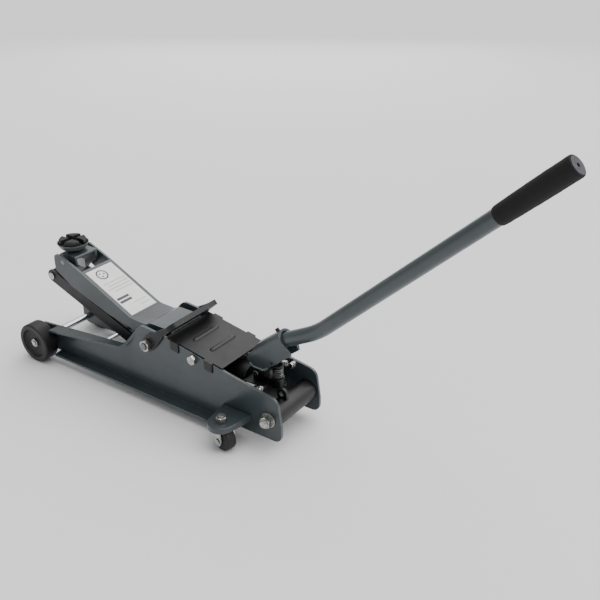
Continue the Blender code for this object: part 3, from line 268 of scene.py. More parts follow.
# --- Meshes -------------------------------------------------------------------------
def place(piece: bpy.types.Object, body: str, slot: Slot, finish: Finish,
          nodes: tuple[str, ...] = ()) -> bpy.types.Object:
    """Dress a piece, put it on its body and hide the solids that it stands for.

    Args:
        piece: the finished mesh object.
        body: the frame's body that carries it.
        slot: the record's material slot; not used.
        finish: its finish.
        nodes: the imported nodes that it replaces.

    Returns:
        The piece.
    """
    piece.data.materials.clear()
    piece.data.materials.append(finish.build())
    if "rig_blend" not in piece:
        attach(piece, body)
    if nodes:
        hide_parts(*nodes)
    LOG.info("%s on %s: %d faces", piece.name, body, len(piece.data.polygons))
    return piece


def mesh_object(name: str, points: list[Vector], faces: list[tuple[int, ...]]) -> bpy.types.Object:
    """Make a closed mesh object with its faces turned outwards.

    Args:
        name: the piece's name.
        points: its corners.
        faces: corner numbers of each face.

    Returns:
        The new object, linked to the scene.
    """
    mesh = bpy.data.meshes.new(name)
    mesh.from_pydata([tuple(point) for point in points], [], faces)
    work = bmesh.new()
    work.from_mesh(mesh)
    bmesh.ops.recalc_face_normals(work, faces=work.faces)
    work.to_mesh(mesh)
    work.free()
    made = bpy.data.objects.new(name, mesh)
    bpy.context.scene.collection.objects.link(made)
    return made


def settle(piece: bpy.types.Object, bevel: float = 0.0) -> bpy.types.Object:
    """Round a piece's edges and shade it smooth.

    Args:
        piece: the object, changed in place.
        bevel: the edges' radius, or 0 to leave them.

    Returns:
        The piece.
    """
    rounded_above, crease_above = math.radians(34), math.radians(38)
    if bevel:
        step = piece.modifiers.new("round_edges", "BEVEL")
        step.width = bevel
        step.segments = 3
        step.limit_method = "ANGLE"
        step.angle_limit = rounded_above
        step.miter_outer = "MITER_ARC"
        bpy.context.view_layer.update()
        result = bpy.data.meshes.new_from_object(piece.evaluated_get(bpy.context.evaluated_depsgraph_get()))
        piece.modifiers.clear()
        piece.data = result
    piece.data.shade_smooth()
    piece.data.set_sharp_from_angle(angle=crease_above)
    weight = piece.modifiers.new("even_shading", "WEIGHTED_NORMAL")
    weight.keep_sharp = True
    return piece


def joined(low: list[int], high: list[int]) -> list[tuple[int, ...]]:
    """The faces between two closed rows of corners.

    Args:
        low: corner numbers of one row.
        high: as many corner numbers of the next; a row on the axis repeats one number.

    Returns:
        One face for each step around.
    """
    faces = []
    for step, corner in enumerate(low):
        after = (step + 1) % len(low)
        faces.append(tuple(dict.fromkeys((corner, low[after], high[after], high[step]))))
    return faces


def revolve(name: str, profile: list[tuple[float, float]], origin: Vector, axis: Vector,
            sides: int = SIDES, ring: bool = False, hexes: tuple[float, ...] = ()) -> bpy.types.Object:
    """Turn a profile about an axis.

    Args:
        name: the piece's name.
        profile: radius and height pairs, in order along the outline.
        origin: the point of height 0 on the axis.
        axis: the axis.
        sides: steps around.
        ring: whether the profile closes on itself, as a tube's does.
        hexes: radii that stand for half the width of a hexagon.

    Returns:
        The new object.
    """
    up = axis.normalized()
    side = Vector((0, 0, -1)) if abs(up.z) < 0.5 else Vector((1, 0, 0))
    side = (side - up * side.dot(up)).normalized()
    other = up.cross(side)
    points: list[Vector] = []
    rows: list[list[int]] = []
    sixth, chamfer_angle = math.pi / 3, math.radians(30)
    for radius, height in profile:
        first = len(points)
        if radius == 0:
            points.append(origin + up * height)
            rows.append([first] * sides)
            continue
        for step in range(sides):
            angle = 2 * math.pi * step / sides
            reach, rise = radius, height
            if radius in hexes:
                reach = radius / math.cos(angle % sixth - sixth / 2)
                chamfer = (reach - radius) * math.tan(chamfer_angle)
                rise = height + (chamfer if hexes.index(radius) == 0 else -chamfer)
            points.append(origin + up * rise + (side * math.cos(angle) + other * math.sin(angle)) * reach)
        rows.append(list(range(first, first + sides)))
    faces = []
    for index in range(len(rows) if ring else len(rows) - 1):
        faces += joined(rows[index], rows[(index + 1) % len(rows)])
    return mesh_object(name, points, faces)


def sweep(name: str, path: list[Vector], radii: list[float], sides: int = 12) -> bpy.types.Object:
    """Draw a round section along a path, with capped ends.

    Args:
        name: the piece's name.
        path: its centre line.
        radii: the section's radius at each point of the path.
        sides: steps around the section.

    Returns:
        The new object.
    """
    points, faces = [], []
    heading = (path[1] - path[0]).normalized()
    seed = Vector((0, 1, 0)) if abs(heading.y) < 0.9 else Vector((1, 0, 0))
    normal = (seed - heading * seed.dot(heading)).normalized()
    last = len(path) - 1
    for index, spot in enumerate(path):
        heading = (path[min(index + 1, last)] - path[max(index - 1, 0)]).normalized()
        normal = (normal - heading * normal.dot(heading)).normalized()
        other = heading.cross(normal)
        for step in range(sides):
            angle = 2 * math.pi * step / sides
            points.append(spot + (normal * math.cos(angle) + other * math.sin(angle)) * radii[index])
    rows = [list(range(index * sides, (index + 1) * sides)) for index in range(last + 1)]
    for low, high in zip(rows, rows[1:]):
        faces += joined(low, high)
    return mesh_object(name, points, faces + [tuple(rows[0]), tuple(rows[-1])])


def coil(start: Vector, end: Vector, radius: float, pitch: float, lead: float = 0.0) -> list[Vector]:
    """The wire's route in a coil spring.

    Args:
        start: one end of the coil's axis.
        end: the other end.
        radius: from the axis to the wire's middle.
        pitch: from one turn to the next.
        lead: straight wire drawn to the axis at both ends, for hooks.

    Returns:
        Points along the wire.
    """
    axis = (end - start).normalized()
    side = axis.orthogonal().normalized()
    other = axis.cross(side)
    length = (end - start).length
    turns = length / pitch
    per_turn = 12
    route = [start - axis * lead] if lead else []
    for step in range(int(turns * per_turn) + 1):
        angle = 2 * math.pi * step / per_turn
        ring = (side * math.cos(angle) + other * math.sin(angle)) * radius
        route.append(start + axis * (length * step / (turns * per_turn)) + ring)
    return route + ([end + axis * lead] if lead else [])


class Frame:
    """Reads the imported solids' own shapes."""

    @staticmethod
    def copied(node: str) -> bpy.types.Object:
        """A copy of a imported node's mesh, with its flat faces made whole.

        Args:
            node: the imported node.

        Returns:
            A new object with the same shape.
        """
        work = bmesh.new()
        work.from_mesh(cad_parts[node].data)
        bmesh.ops.remove_doubles(work, verts=work.verts, dist=0.002 * MM)
        bmesh.ops.dissolve_limit(work, angle_limit=math.radians(0.6), verts=work.verts, edges=work.edges)
        mesh = bpy.data.meshes.new(node + "_fine")
        work.to_mesh(mesh)
        work.free()
        made = bpy.data.objects.new(node + "_fine", mesh)
        bpy.context.scene.collection.objects.link(made)
        return made

    @staticmethod
    def profile(node: str, axis: Vector, origin: Vector) -> tuple[list[tuple[float, float]], bool]:
        """The outline that a packed turned node was turned from.

        Args:
            node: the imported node.
            axis: the direction that it was turned about.
            origin: a point on that axis.

        Returns:
            Radius and height pairs, and whether the outline closes on itself.
        """
        grid = 0.02 * MM
        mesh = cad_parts[node].data
        keys = []
        for vertex in mesh.vertices:
            offset = vertex.co - origin
            height = offset.dot(axis)
            keys.append((round((offset - axis * height).length / grid), round(height / grid)))
        near: dict[tuple[int, int], set] = {key: set() for key in keys}
        for edge in mesh.edges:
            one, two = keys[edge.vertices[0]], keys[edge.vertices[1]]
            if one != two:
                near[one].add(two)
                near[two].add(one)
        ends = [key for key in near if len(near[key]) == 1]
        chain = [min(ends, key=lambda key: key[1]) if ends else min(near)]
        while True:
            ahead = [key for key in near[chain[-1]] if key not in chain]
            if not ahead:
                break
            chain.append(min(ahead, key=lambda key: len(near[key])))
        outline = [(radius * grid, height * grid) for radius, height in chain]
        if ends:
            outline = [(0.0, outline[0][1])] * (outline[0][0] > 0) + outline
            outline += [(0.0, outline[-1][1])] * (outline[-1][0] > 0)
        return outline, not ends


def returned(node: str, axis: Vector, body: str, slot: Slot, finish: Finish, bevel: float = 0.4 * MM,
             sides: int = PIN_SIDES) -> bpy.types.Object:
    """Turn a packed round node again, finely and with its edges broken.

    Args:
        node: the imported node.
        axis: the direction that it is turned about.
        body: the body that carries it.
        slot: its material slot.
        finish: its finish.
        bevel: the edges' radius.
        sides: steps around.

    Returns:
        The new piece.
    """
    low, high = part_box(node)
    origin = (low + high) / 2
    outline, ring = Frame.profile(node, axis, origin)
    piece = revolve(node + "_fine", outline, origin, axis, sides, ring)
    return place(settle(piece, bevel), body, slot, finish, (node,))


def refined(node: str, bevel: float, body: str, slot: Slot, finish: Finish) -> bpy.types.Object:
    """Give a packed pressed or cast node its rounded edges.

    Args:
        node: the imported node.
        bevel: the edges' radius.
        body: the body that carries it.
        slot: its material slot.
        finish: its finish.

    Returns:
        The new piece.
    """
    return place(settle(Frame.copied(node), bevel), body, slot, finish, (node,))


X, Y, Z = Vector((1, 0, 0)), Vector((0, 1, 0)), Vector((0, 0, 1))


# --- Sub-assemblies -----------------------------------------------------------------
@dataclass
class HexFastener:
    """A nut or a bolt head with chamfered corners, around or on a threaded stud."""
    node: str
    axis: Vector
    body: str
    across: float
    height: float
    base: float
    bore: float = 0.0
    washer: float = 0.0
    washer_r: float = 0.0
    stud: float = 0.0
    stud_r: float = 0.0

    def build(self) -> None:
        """Make the head or nut, its washer and its stud end as one piece."""
        low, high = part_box(self.node)
        middle = (low + high) / 2
        origin = middle - self.axis * middle.dot(self.axis) + self.axis * self.base
        half = self.across / 2
        twin = half * 1.00001
        foot = self.washer
        top = foot + self.height
        rim = half * 0.97
        outline = [(self.bore, 0.0)]
        if self.washer:
            edge = 0.3 * MM
            outline += [(self.washer_r - edge, 0.0), (self.washer_r, edge), (self.washer_r, foot - edge),
                        (self.washer_r - edge, foot)]
        outline += [(rim, foot), (half, foot), (twin, top), (rim, top)]
        if self.stud:
            outline += [(self.stud_r, top)] + self.thread(top) + [(0.0, top + self.stud)]
        elif self.bore:
            outline += [(self.bore + 0.5 * MM, top), (self.bore, top - 0.5 * MM)]
        else:
            outline += [(rim * 0.6, top - 0.25 * MM), (0.0, top - 0.35 * MM)]
        piece = revolve(self.node + "_fine", outline, origin, self.axis, 72, ring=bool(self.bore),
                        hexes=(half, twin))
        place(settle(piece), self.body, Slot.ZINC, ZINC, (self.node,))

    def thread(self, start: float) -> list[tuple[float, float]]:
        """The stud's outline, with a groove for each turn of its thread.

        Args:
            start: height of the nut's or head's top, where the stud begins.

        Returns:
            Radius and height pairs.
        """
        pitch, depth = 1.5 * MM, 0.55 * MM
        outline = []
        for turn in range(int(self.stud / pitch)):
            height = start + turn * pitch
            outline += [(self.stud_r - depth, height + pitch * 0.35), (self.stud_r, height + pitch * 0.8)]
        return outline + [(self.stud_r - depth, start + self.stud)]


@dataclass
class SidePlates:
    """Both pressed side plates, the rods between them and the rear cross tube."""
    bend: float = 1.3 * MM
    rods: tuple[str, ...] = ("link_anchor_shaft", "arm_spacer_left", "arm_spacer_right")

    def build(self) -> None:
        """Make the plates and what holds them apart."""
        for side in ("left", "right"):
            refined(f"side_plate_{side}", self.bend, "frame", Slot.SLATE, SLATE)
            returned(f"spring_stud_{side}", Y, "frame", Slot.ZINC, ZINC, 1.0 * MM)
        for rod in self.rods:
            returned(rod, Y, "frame", Slot.STEEL, STEEL)
        returned("tie_rod", Y, "frame", Slot.CHROME, CHROME, 0.5 * MM)
        returned("front_axle", Y, "frame", Slot.CHROME, CHROME, 0.6 * MM, SIDES)
        returned("main_pivot_shaft", Y, "frame", Slot.STEEL, STEEL, 0.8 * MM)
        returned("rear_cross_tube", Y, "frame", Slot.BLACK, BLACK, 0.8 * MM, SIDES)
        refined("tube_eye", 0.9 * MM, "frame", Slot.BLACK, BLACK)

    def fasteners(self) -> None:
        """Make the nuts and bolts on the plates."""
        web = abs(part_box("rear_bolt_left")[1].y)
        for side, way in (("left", Y), ("right", -Y)):
            rear_end = 17.5 * MM
            HexFastener(f"rear_bolt_{side}", way, "frame", 19 * MM, 10 * MM, web - rear_end, washer=2.5 * MM,
                        washer_r=13 * MM, stud=5 * MM, stud_r=6 * MM).build()
            head = 6.5 * MM
            HexFastener(f"cover_bolt_{side}", way, "frame", 15 * MM, head,
                        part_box("cover_bolt_left")[1].y - head).build()
            HexFastener(f"axle_nut_{side}", way, "frame", 15 * MM, 5 * MM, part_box("axle_nut_left")[0].y,
                        bore=4.8 * MM).build()
            HexFastener(f"main_pivot_nut_{side}", way, "frame", 19 * MM, 9 * MM,
                        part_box("main_pivot_nut_left")[0].y, bore=6.3 * MM).build()


@dataclass
class Cover:
    """The pressed cover over the hydraulic unit, and the carrying handle above it.

    The ribs' and the slope's numbers are in millimetres, measured as at() takes them.
    """
    sheet_edge: float = 0.7 * MM
    handle_edge: float = 1.8 * MM
    ribs: tuple[float, float] = (166.0, 203.0)
    rib_half: float = 33.0
    rib_radius: float = 5.4
    sheet_top: float = 2.45
    slope: tuple[tuple[float, float], tuple[float, float]] = ((104.0, 109.5), (250.0, 136.0))

    def build(self) -> None:
        """Make the cover and the carrying handle."""
        sheet = Frame.copied("cover_plate")
        for vertex in sheet.data.vertices:
            level = self.level((vertex.co.x - REAR_X) / MM) * MM
            vertex.co.z = min(vertex.co.z, level + self.sheet_top * MM)
        place(settle(sheet, self.sheet_edge), "frame", Slot.BLACK, BLACK, ("cover_plate",))
        refined("carry_handle", self.handle_edge, "frame", Slot.BLACK, BLACK)
        for number, x in enumerate(self.ribs):
            self.rib(number, x)

    def level(self, x: float) -> float:
        """Height of the side plates' top edge at a distance from their rear."""
        (low_x, low_z), (high_x, high_z) = self.slope
        return low_z + (high_z - low_z) * (x - low_x) / (high_x - low_x)

    def rib(self, number: int, x: float) -> None:
        """One rounded rib pressed up across the cover, dying out at its ends.

        Args:
            number: the rib's number.
            x: its middle, from the rear of the side plates.
        """
        height = self.level(x) + self.sheet_top - self.rib_radius / 2
        steps = 24
        route, radii = [], []
        for step in range(steps + 1):
            share = 2 * step / steps - 1
            route.append(at(x, self.rib_half * share, height))
            radii.append(self.rib_radius * (1 - max(0.0, abs(share) - 0.88) * 4.5) * MM)
        place(settle(sweep(f"cover_rib_{number}", route, radii, 24)), "frame", Slot.BLACK, BLACK)


@dataclass
class Hydraulics:
    """Cylinder, ram, pump block, plunger with its spring, and the release valve."""
    wire: float = 1.0 * MM

    def build(self) -> None:
        """Make the hydraulic pieces."""
        returned("hydraulic_cylinder", X, "frame", Slot.BLACK, BLACK, 1.0 * MM, SIDES)
        returned("ram", X, "ram", Slot.CHROME, CHROME, 0.6 * MM, SIDES)
        refined("ram_crosshead", 1.0 * MM, "ram", Slot.STEEL, STEEL)
        refined("pump_block", 1.2 * MM, "frame", Slot.BLACK, BLACK)
        returned("handle_pivot_pin", Y, "frame", Slot.ZINC, ZINC, 0.6 * MM)
        returned("pump_plunger", Z, "plunger", Slot.BLACK, BLACK, 0.6 * MM, SIDES)
        refined("release_valve", 0.5 * MM, "valve", Slot.ZINC, ZINC)
        self.spring()

    def spring(self) -> None:
        """The coil around the plunger, which shortens as it goes down."""
        low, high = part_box("pump_spring")
        middle = (low + high) / 2
        radius = (high.x - low.x) / 2 - self.wire
        foot = Vector((middle.x, middle.y, low.z + self.wire))
        head = Vector((middle.x, middle.y, high.z - self.wire))
        route = coil(foot, head, radius, 3.4 * MM)
        piece = settle(sweep("pump_spring_coil", route, [self.wire] * len(route), 8))
        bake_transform(piece, "frame", "plunger", foot, head)
        place(piece, "plunger", Slot.STEEL, STEEL, ("pump_spring",))


@dataclass
class ReturnSprings:
    """The two extension springs that pull the arm down."""
    wire: float = 0.95 * MM
    pitch: float = 2.1 * MM
    hook: float = 9.0 * MM

    def build(self) -> None:
        """Wind both springs between their studs and the arm's lower pin."""
        for side in ("left", "right"):
            self.wind(side)

    def wind(self, side: str) -> None:
        """One spring with its end hooks, stretched as the arm turns.

        Args:
            side: left or right.
        """
        low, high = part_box(f"return_spring_{side}")
        stud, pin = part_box(f"spring_stud_{side}"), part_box("ram_pin")
        y = (low.y + high.y) / 2
        rear = (stud[0] + stud[1]) / 2
        front = (pin[0] + pin[1]) / 2
        start, end = Vector((rear.x, y, rear.z)), Vector((front.x, y, front.z))
        along = (end - start).normalized()
        radius = (high.y - low.y) / 2 - self.wire
        route = coil(start + along * self.hook, end - along * self.hook * 2, radius, self.pitch)
        around = [self.loop(start, along, 5.6 * MM), self.loop(end, -along, 6.0 * MM)]
        route = list(reversed(around[0])) + route + around[1]
        piece = settle(sweep(f"return_spring_{side}_coil", route, [self.wire] * len(route), 8))
        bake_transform(piece, "frame", "lift_arm", start, end)
        place(piece, "frame", Slot.ZINC, ZINC, (f"return_spring_{side}",))

    def loop(self, centre: Vector, along: Vector, radius: float) -> list[Vector]:
        """A hook's wire around a stud, open away from the coil.

        Args:
            centre: the stud's middle.
            along: from the stud towards the coil.
            radius: the hook's radius.

        Returns:
            Points from the coil's side around the stud.
        """
        up = Y.cross(along)
        steps = 12
        sweep_angle = math.radians(250)
        return [centre + along * radius * math.cos(sweep_angle * step / steps)
                + up * radius * math.sin(sweep_angle * step / steps) for step in range(steps + 1)]


@dataclass
class Label:
    """A paper label on the arm, with a ring, faint lines and two dark bars printed on it.

    Places and thicknesses are in millimetres; a line's or bar's place is a share of the label.
    """
    front: tuple[float, float] = (459.0, 186.75)
    rear: tuple[float, float] = (348.0, 134.41)
    half_width: float = 31.0
    lift: float = 0.25
    thick: float = 0.2
    lines: list[tuple[float, float, float, float]] = field(default_factory=lambda: [
        (0.33, 0.05, 0.90, 0.010), (0.39, 0.05, 0.80, 0.010), (0.45, 0.05, 0.92, 0.010),
        (0.51, 0.05, 0.74, 0.010), (0.82, 0.08, 0.60, 0.007), (0.90, 0.08, 0.45, 0.007)])

    def spot(self, along: float, across: float, rise: float) -> Vector:
        """A point on the label.

        Args:
            along: share of the label's length, from its front end.
            across: share of its half width, positive to the left.
            rise: height above the arm, in millimetres.

        Returns:
            The point in the frame.
        """
        (fx, fz), (rx, rz) = self.front, self.rear
        slope = Vector((rx - fx, 0, rz - fz))
        normal = Vector((rz - fz, 0, fx - rx)).normalized()
        base = Vector((fx, across * self.half_width, fz)) + slope * along + normal * rise
        return at(base.x, base.y, base.z)

    def patch(self, name: str, outline: list[tuple[float, float]], low: float, high: float,
              finish: Finish) -> None:
        """A flat printed or paper patch.

        Args:
            name: the piece's name.
            outline: shares along and across the label.
            low: its underside above the arm, in millimetres.
            high: its top above the arm, in millimetres.
            finish: paper or ink.
        """
        points = [self.spot(along, across, rise) for rise in (low, high) for along, across in outline]
        count = len(outline)
        faces = [tuple(range(count)), tuple(range(count, 2 * count))]
        faces += joined(list(range(count)), list(range(count, 2 * count)))
        place(settle(mesh_object(name, points, faces)), "lift_arm", Slot.SLATE, finish)

    def build(self) -> None:
        """Lay the label and print its marks."""
        gap, print_thick = 0.05, 0.06
        top = self.lift + self.thick
        ink = top + print_thick
        self.patch("arm_label", [(0, -1), (1, -1), (1, 1), (0, 1)], gap, top, PAPER)
        for number, (along, low, high, half) in enumerate(self.lines):
            outline = self.bar(along, half, 2 * low - 1, 2 * high - 1)
            self.patch(f"label_line_{number}", outline, top, ink, FAINT_INK)
        half, start, end = 0.022, 0.0, 0.9
        for number, along in enumerate((0.66, 0.73)):
            self.patch(f"label_block_{number}", self.bar(along, half, start, end), top, ink, INK)
        self.ring(top, ink)

    @staticmethod
    def bar(along: float, half: float, start: float, end: float) -> list[tuple[float, float]]:
        """Corners of a printed bar: its middle and half width along the label, its ends across."""
        return [(along - half, start), (along + half, start), (along + half, end), (along - half, end)]

    def ring(self, low: float, high: float) -> None:
        """The printed ring with three dots in it.

        Args:
            low: the print's underside above the arm, in millimetres.
            high: its top above the arm, in millimetres.
        """
        ratio = self.half_width / math.dist(self.front, self.rear)
        centre, radius, width = (0.145, 0.22), 0.34, 0.045
        steps = 40
        points, faces = [], []
        for rise in (low, high):
            for reach in (radius - width, radius + width):
                for step in range(steps):
                    angle = 2 * math.pi * step / steps
                    points.append(self.spot(centre[0] + reach * ratio * math.cos(angle),
                                            centre[1] + reach * math.sin(angle), rise))
        rows = [list(range(first, first + steps)) for first in (0, steps, 3 * steps, 2 * steps)]
        for inner, outer in zip(rows, rows[1:] + rows[:1]):
            faces += joined(inner, outer)
        place(settle(mesh_object("label_ring", points, faces)), "lift_arm", Slot.SLATE, INK)
        for number, turn in enumerate((0.3, 2.4, 4.6)):
            dot = [(centre[0] + ratio * (0.15 * math.cos(turn) + 0.06 * math.cos(step)),
                    centre[1] + 0.15 * math.sin(turn) + 0.06 * math.sin(step))
                   for step in (2 * math.pi * k / 12 for k in range(12))]
            self.patch(f"label_dot_{number}", dot, low, high, INK)


@dataclass
class Lift:
    """The lifting arm, the link bars below it, and the carrier with its saddle."""
    press: float = 1.4 * MM

    def build(self) -> None:
        """Make the linkage and the saddle."""
        refined("lift_arm", self.press, "lift_arm", Slot.SLATE, SLATE)
        returned("carrier_pin", Y, "lift_arm", Slot.STEEL, STEEL)
        returned("ram_pin", Y, "lift_arm", Slot.STEEL, STEEL)
        for side in ("left", "right"):
            refined(f"link_bar_{side}", 0.9 * MM, "links", Slot.BLACK, BLACK)
        returned("link_pin", Y, "links", Slot.ZINC, ZINC, 0.7 * MM)
        refined("saddle_carrier", 1.1 * MM, "carrier", Slot.SLATE, SLATE)
        returned("saddle_cup", Z, "saddle", Slot.SLATE, CUP, 0.8 * MM, SIDES)
        refined("saddle_pad", 1.3 * MM, "saddle", Slot.RUBBER, RUBBER)
        self.sticker()

    def sticker(self) -> None:
        """The small paper patch inside the carrier's right cheek."""
        corners = [(521, 163), (543, 163), (543, 181), (521, 181)]
        cheek, face = -21.98, -21.75
        points = [at(x, y, z) for y in (cheek, face) for x, z in corners]
        under, over = [0, 1, 2, 3], [4, 5, 6, 7]
        faces = [tuple(under), tuple(over)] + joined(under, over)
        place(settle(mesh_object("carrier_patch", points, faces)), "carrier", Slot.SLATE, PAPER)


@dataclass
class Handle:
    """The pump handle: bent tube, socket with its weld, yoke, roller, screw and grip.

    Lengths are in millimetres, and places are measured from the rear of the side plates.
    """
    radius: float = 12.5
    wall: float = 2.0
    socket: tuple[float, float] = (37.0, 171.0)
    socket_angle: float = math.radians(39)
    bend: tuple[float, float] = (-27.0, 205.0)
    end: tuple[float, float] = (-380.0, 535.5)
    bends: tuple[float, float] = (120.0, 160.0)
    depth: float = 42.0
    grip_length: float = 120.0
    grip_radius: float = 15.5

    def in_socket(self, along: float, above: float, y: float = 0.0) -> Vector:
        """A point given in the socket's own directions, in millimetres.

        Args:
            along: down the socket's axis, from its upper end.
            above: square to the axis, upwards.
            y: to the left.

        Returns:
            The point in the frame.
        """
        cosine, sine = math.cos(self.socket_angle), math.sin(self.socket_angle)
        return at(self.socket[0] + along * cosine + above * sine, y,
                  self.socket[1] - along * sine + above * cosine)

    @property
    def slope(self) -> float:
        """The angle of the handle's straight upper part."""
        return math.atan2(self.end[1] - self.bend[1], self.bend[0] - self.end[0])

    def build(self) -> None:
        """Make the handle's pieces."""
        refined("handle_socket", 1.1 * MM, "handle", Slot.SLATE, SLATE)
        # The yoke's black enamel is partly painted shade, for the shadow that it sits in under the socket.
        refined("handle_yoke", 1.0 * MM, "handle", Slot.BLACK, BLACK)
        returned("pump_roller", Y, "handle", Slot.BLACK, BLACK, 0.5 * MM)
        self.screw()
        self.tube()
        self.grip()
        self.weld()

    def screw(self) -> None:
        """The socket-headed set screw, on the pressed socket's crown."""
        radius, place_along, seat, head = 3.5 * MM, 1, 13.0, 22.2
        base, tip = self.in_socket(place_along, seat), self.in_socket(place_along, head)
        length = (tip - base).length
        hole, deep = 1.7 * MM, 2.5 * MM
        edge = 0.5 * MM
        outline = [(0.0, 0.0), (radius, 0.0), (radius, length - edge), (radius - edge, length),
                   (hole, length), (hole, length - deep), (0.0, length - deep)]
        piece = revolve("set_screw_fine", outline, base, tip - base, 36)
        place(settle(piece, 0.15 * MM), "handle", Slot.BLACK, BLACK, ("set_screw",))

    def path(self) -> list[Vector]:
        """The tube's centre line over its two bends.

        Returns:
            Points from the foot inside the socket to the end inside the grip.
        """
        foot = self.in_socket(self.depth, 0)
        last = at(self.end[0] + 4 * math.cos(self.slope), 0, self.end[1] - 4 * math.sin(self.slope))
        corners = [foot, at(self.socket[0], 0, self.socket[1]), at(self.bend[0], 0, self.bend[1]), last]
        route = [foot]
        for index, radius in ((1, self.bends[0]), (2, self.bends[1])):
            here = corners[index]
            back = corners[index - 1] - here
            ahead = corners[index + 1] - here
            half = back.angle(ahead) / 2
            run = min(radius * MM / math.tan(half), back.length * 0.49, ahead.length * 0.49)
            reach = run * math.tan(half)
            middle = here + (back.normalized() + ahead.normalized()).normalized() * reach / math.sin(half)
            start = (here + back.normalized() * run - middle).normalized()
            stop = (here + ahead.normalized() * run - middle).normalized()
            steps = 14
            for step in range(steps + 1):
                route.append(middle + start.slerp(stop, step / steps) * reach)
        return route + [last]

    def tube(self) -> None:
        """The bent steel tube, open at its ends."""
        route = self.path()
        sides = 40
        points, faces = [], []
        last = len(route) - 1
        rows = [(index, self.radius) for index in range(last + 1)]
        rows += [(index, self.radius - self.wall) for index in range(last, -1, -1)]
        for index, radius in rows:
            heading = (route[min(index + 1, last)] - route[max(index - 1, 0)]).normalized()
            up = heading.cross(Y)
            for step in range(sides):
                angle = 2 * math.pi * step / sides
                points.append(route[index] + (up * math.cos(angle) + Y * math.sin(angle)) * radius * MM)
        loops = [list(range(index * sides, (index + 1) * sides)) for index in range(len(rows))]
        for low, high in zip(loops, loops[1:] + loops[:1]):
            faces += joined(low, high)
        piece = mesh_object("handle_tube_fine", points, faces)
        place(settle(piece), "handle", Slot.SLATE, SLATE, ("handle_tube",))

    def grip(self) -> None:
        """The foam sleeve, a little uneven, with its flat end and small hole."""
        heading = Vector((-math.cos(self.slope), 0, math.sin(self.slope)))
        end = at(self.end[0], 0, self.end[1])
        foot = end - heading * self.grip_length * MM
        bore, hole = (self.radius + 0.3) * MM, 2.5 * MM
        full, length = self.grip_radius * MM, self.grip_length * MM
        collar = 14.2 * MM
        outline = [(bore, 0.0), (13.0 * MM, 0.2 * MM), (13.6 * MM, 1.0 * MM), (collar, 4 * MM)]
        steps = 30
        for step in range(1, steps):
            share = step / steps
            swell = collar + (full - collar) * min(1.0, share * 1.6) ** 0.7
            ripple = 0.12 * MM * math.sin(share * 37) * math.sin(share * 11)
            outline.append((swell + ripple, 4 * MM + (length - 8 * MM) * share))
        cap = 3.7 * MM
        outline += [(full, length - 3 * MM), (full - 0.6 * MM, length - 1.0 * MM),
                    (full - 1.8 * MM, length - 0.1 * MM), (full - 2.4 * MM, length),
                    (hole + 0.3 * MM, length), (hole, length - 0.3 * MM),
                    (hole, length - cap), (bore, length - cap)]
        piece = revolve("handle_grip_fine", outline, foot, heading, SIDES, ring=True)
        place(settle(piece), "handle", Slot.FOAM, FOAM, ("handle_grip",))
        skin, inside, outside = 0.15 * MM, hole + 0.4 * MM, full - 2.5 * MM
        face = [(inside, 0.0), (outside, 0.0), (outside, skin), (inside, skin)]
        cut = revolve("grip_cut_face", face, end + heading * 0.02 * MM, heading, SIDES, ring=True)
        place(settle(cut), "handle", Slot.FOAM, CUT_FOAM)

    def weld(self) -> None:
        """The rippled welds along the lower front edge of both skirts."""
        line = [(78.0, -5.0), (77.3, -10.0), (75.5, -13.6), (72.6, -16.6), (67.2, -20.9), (61.8, -25.1),
                (58.3, -26.8), (50.0, -27.0)]
        fine, beads = 10, 11
        thinnest, swell, skirt = 1.1, 1.0, 17.0
        for side, y in (("left", skirt), ("right", -skirt)):
            route, radii = [], []
            count = (len(line) - 1) * fine
            for step in range(count + 1):
                index, share = min(step // fine, len(line) - 2), step / fine
                share -= index
                (x0, z0), (x1, z1) = line[index], line[index + 1]
                route.append(self.in_socket(x0 + (x1 - x0) * share, z0 + (z1 - z0) * share, y))
                radii.append((thinnest + swell * abs(math.sin(step / count * math.pi * beads))) * MM)
            # The weld's lighter colour is a painted highlight on its ripples.
            place(settle(sweep(f"socket_weld_{side}", route, radii)), "handle", Slot.SLATE, WELD_PAINTED_HIGHLIGHT)


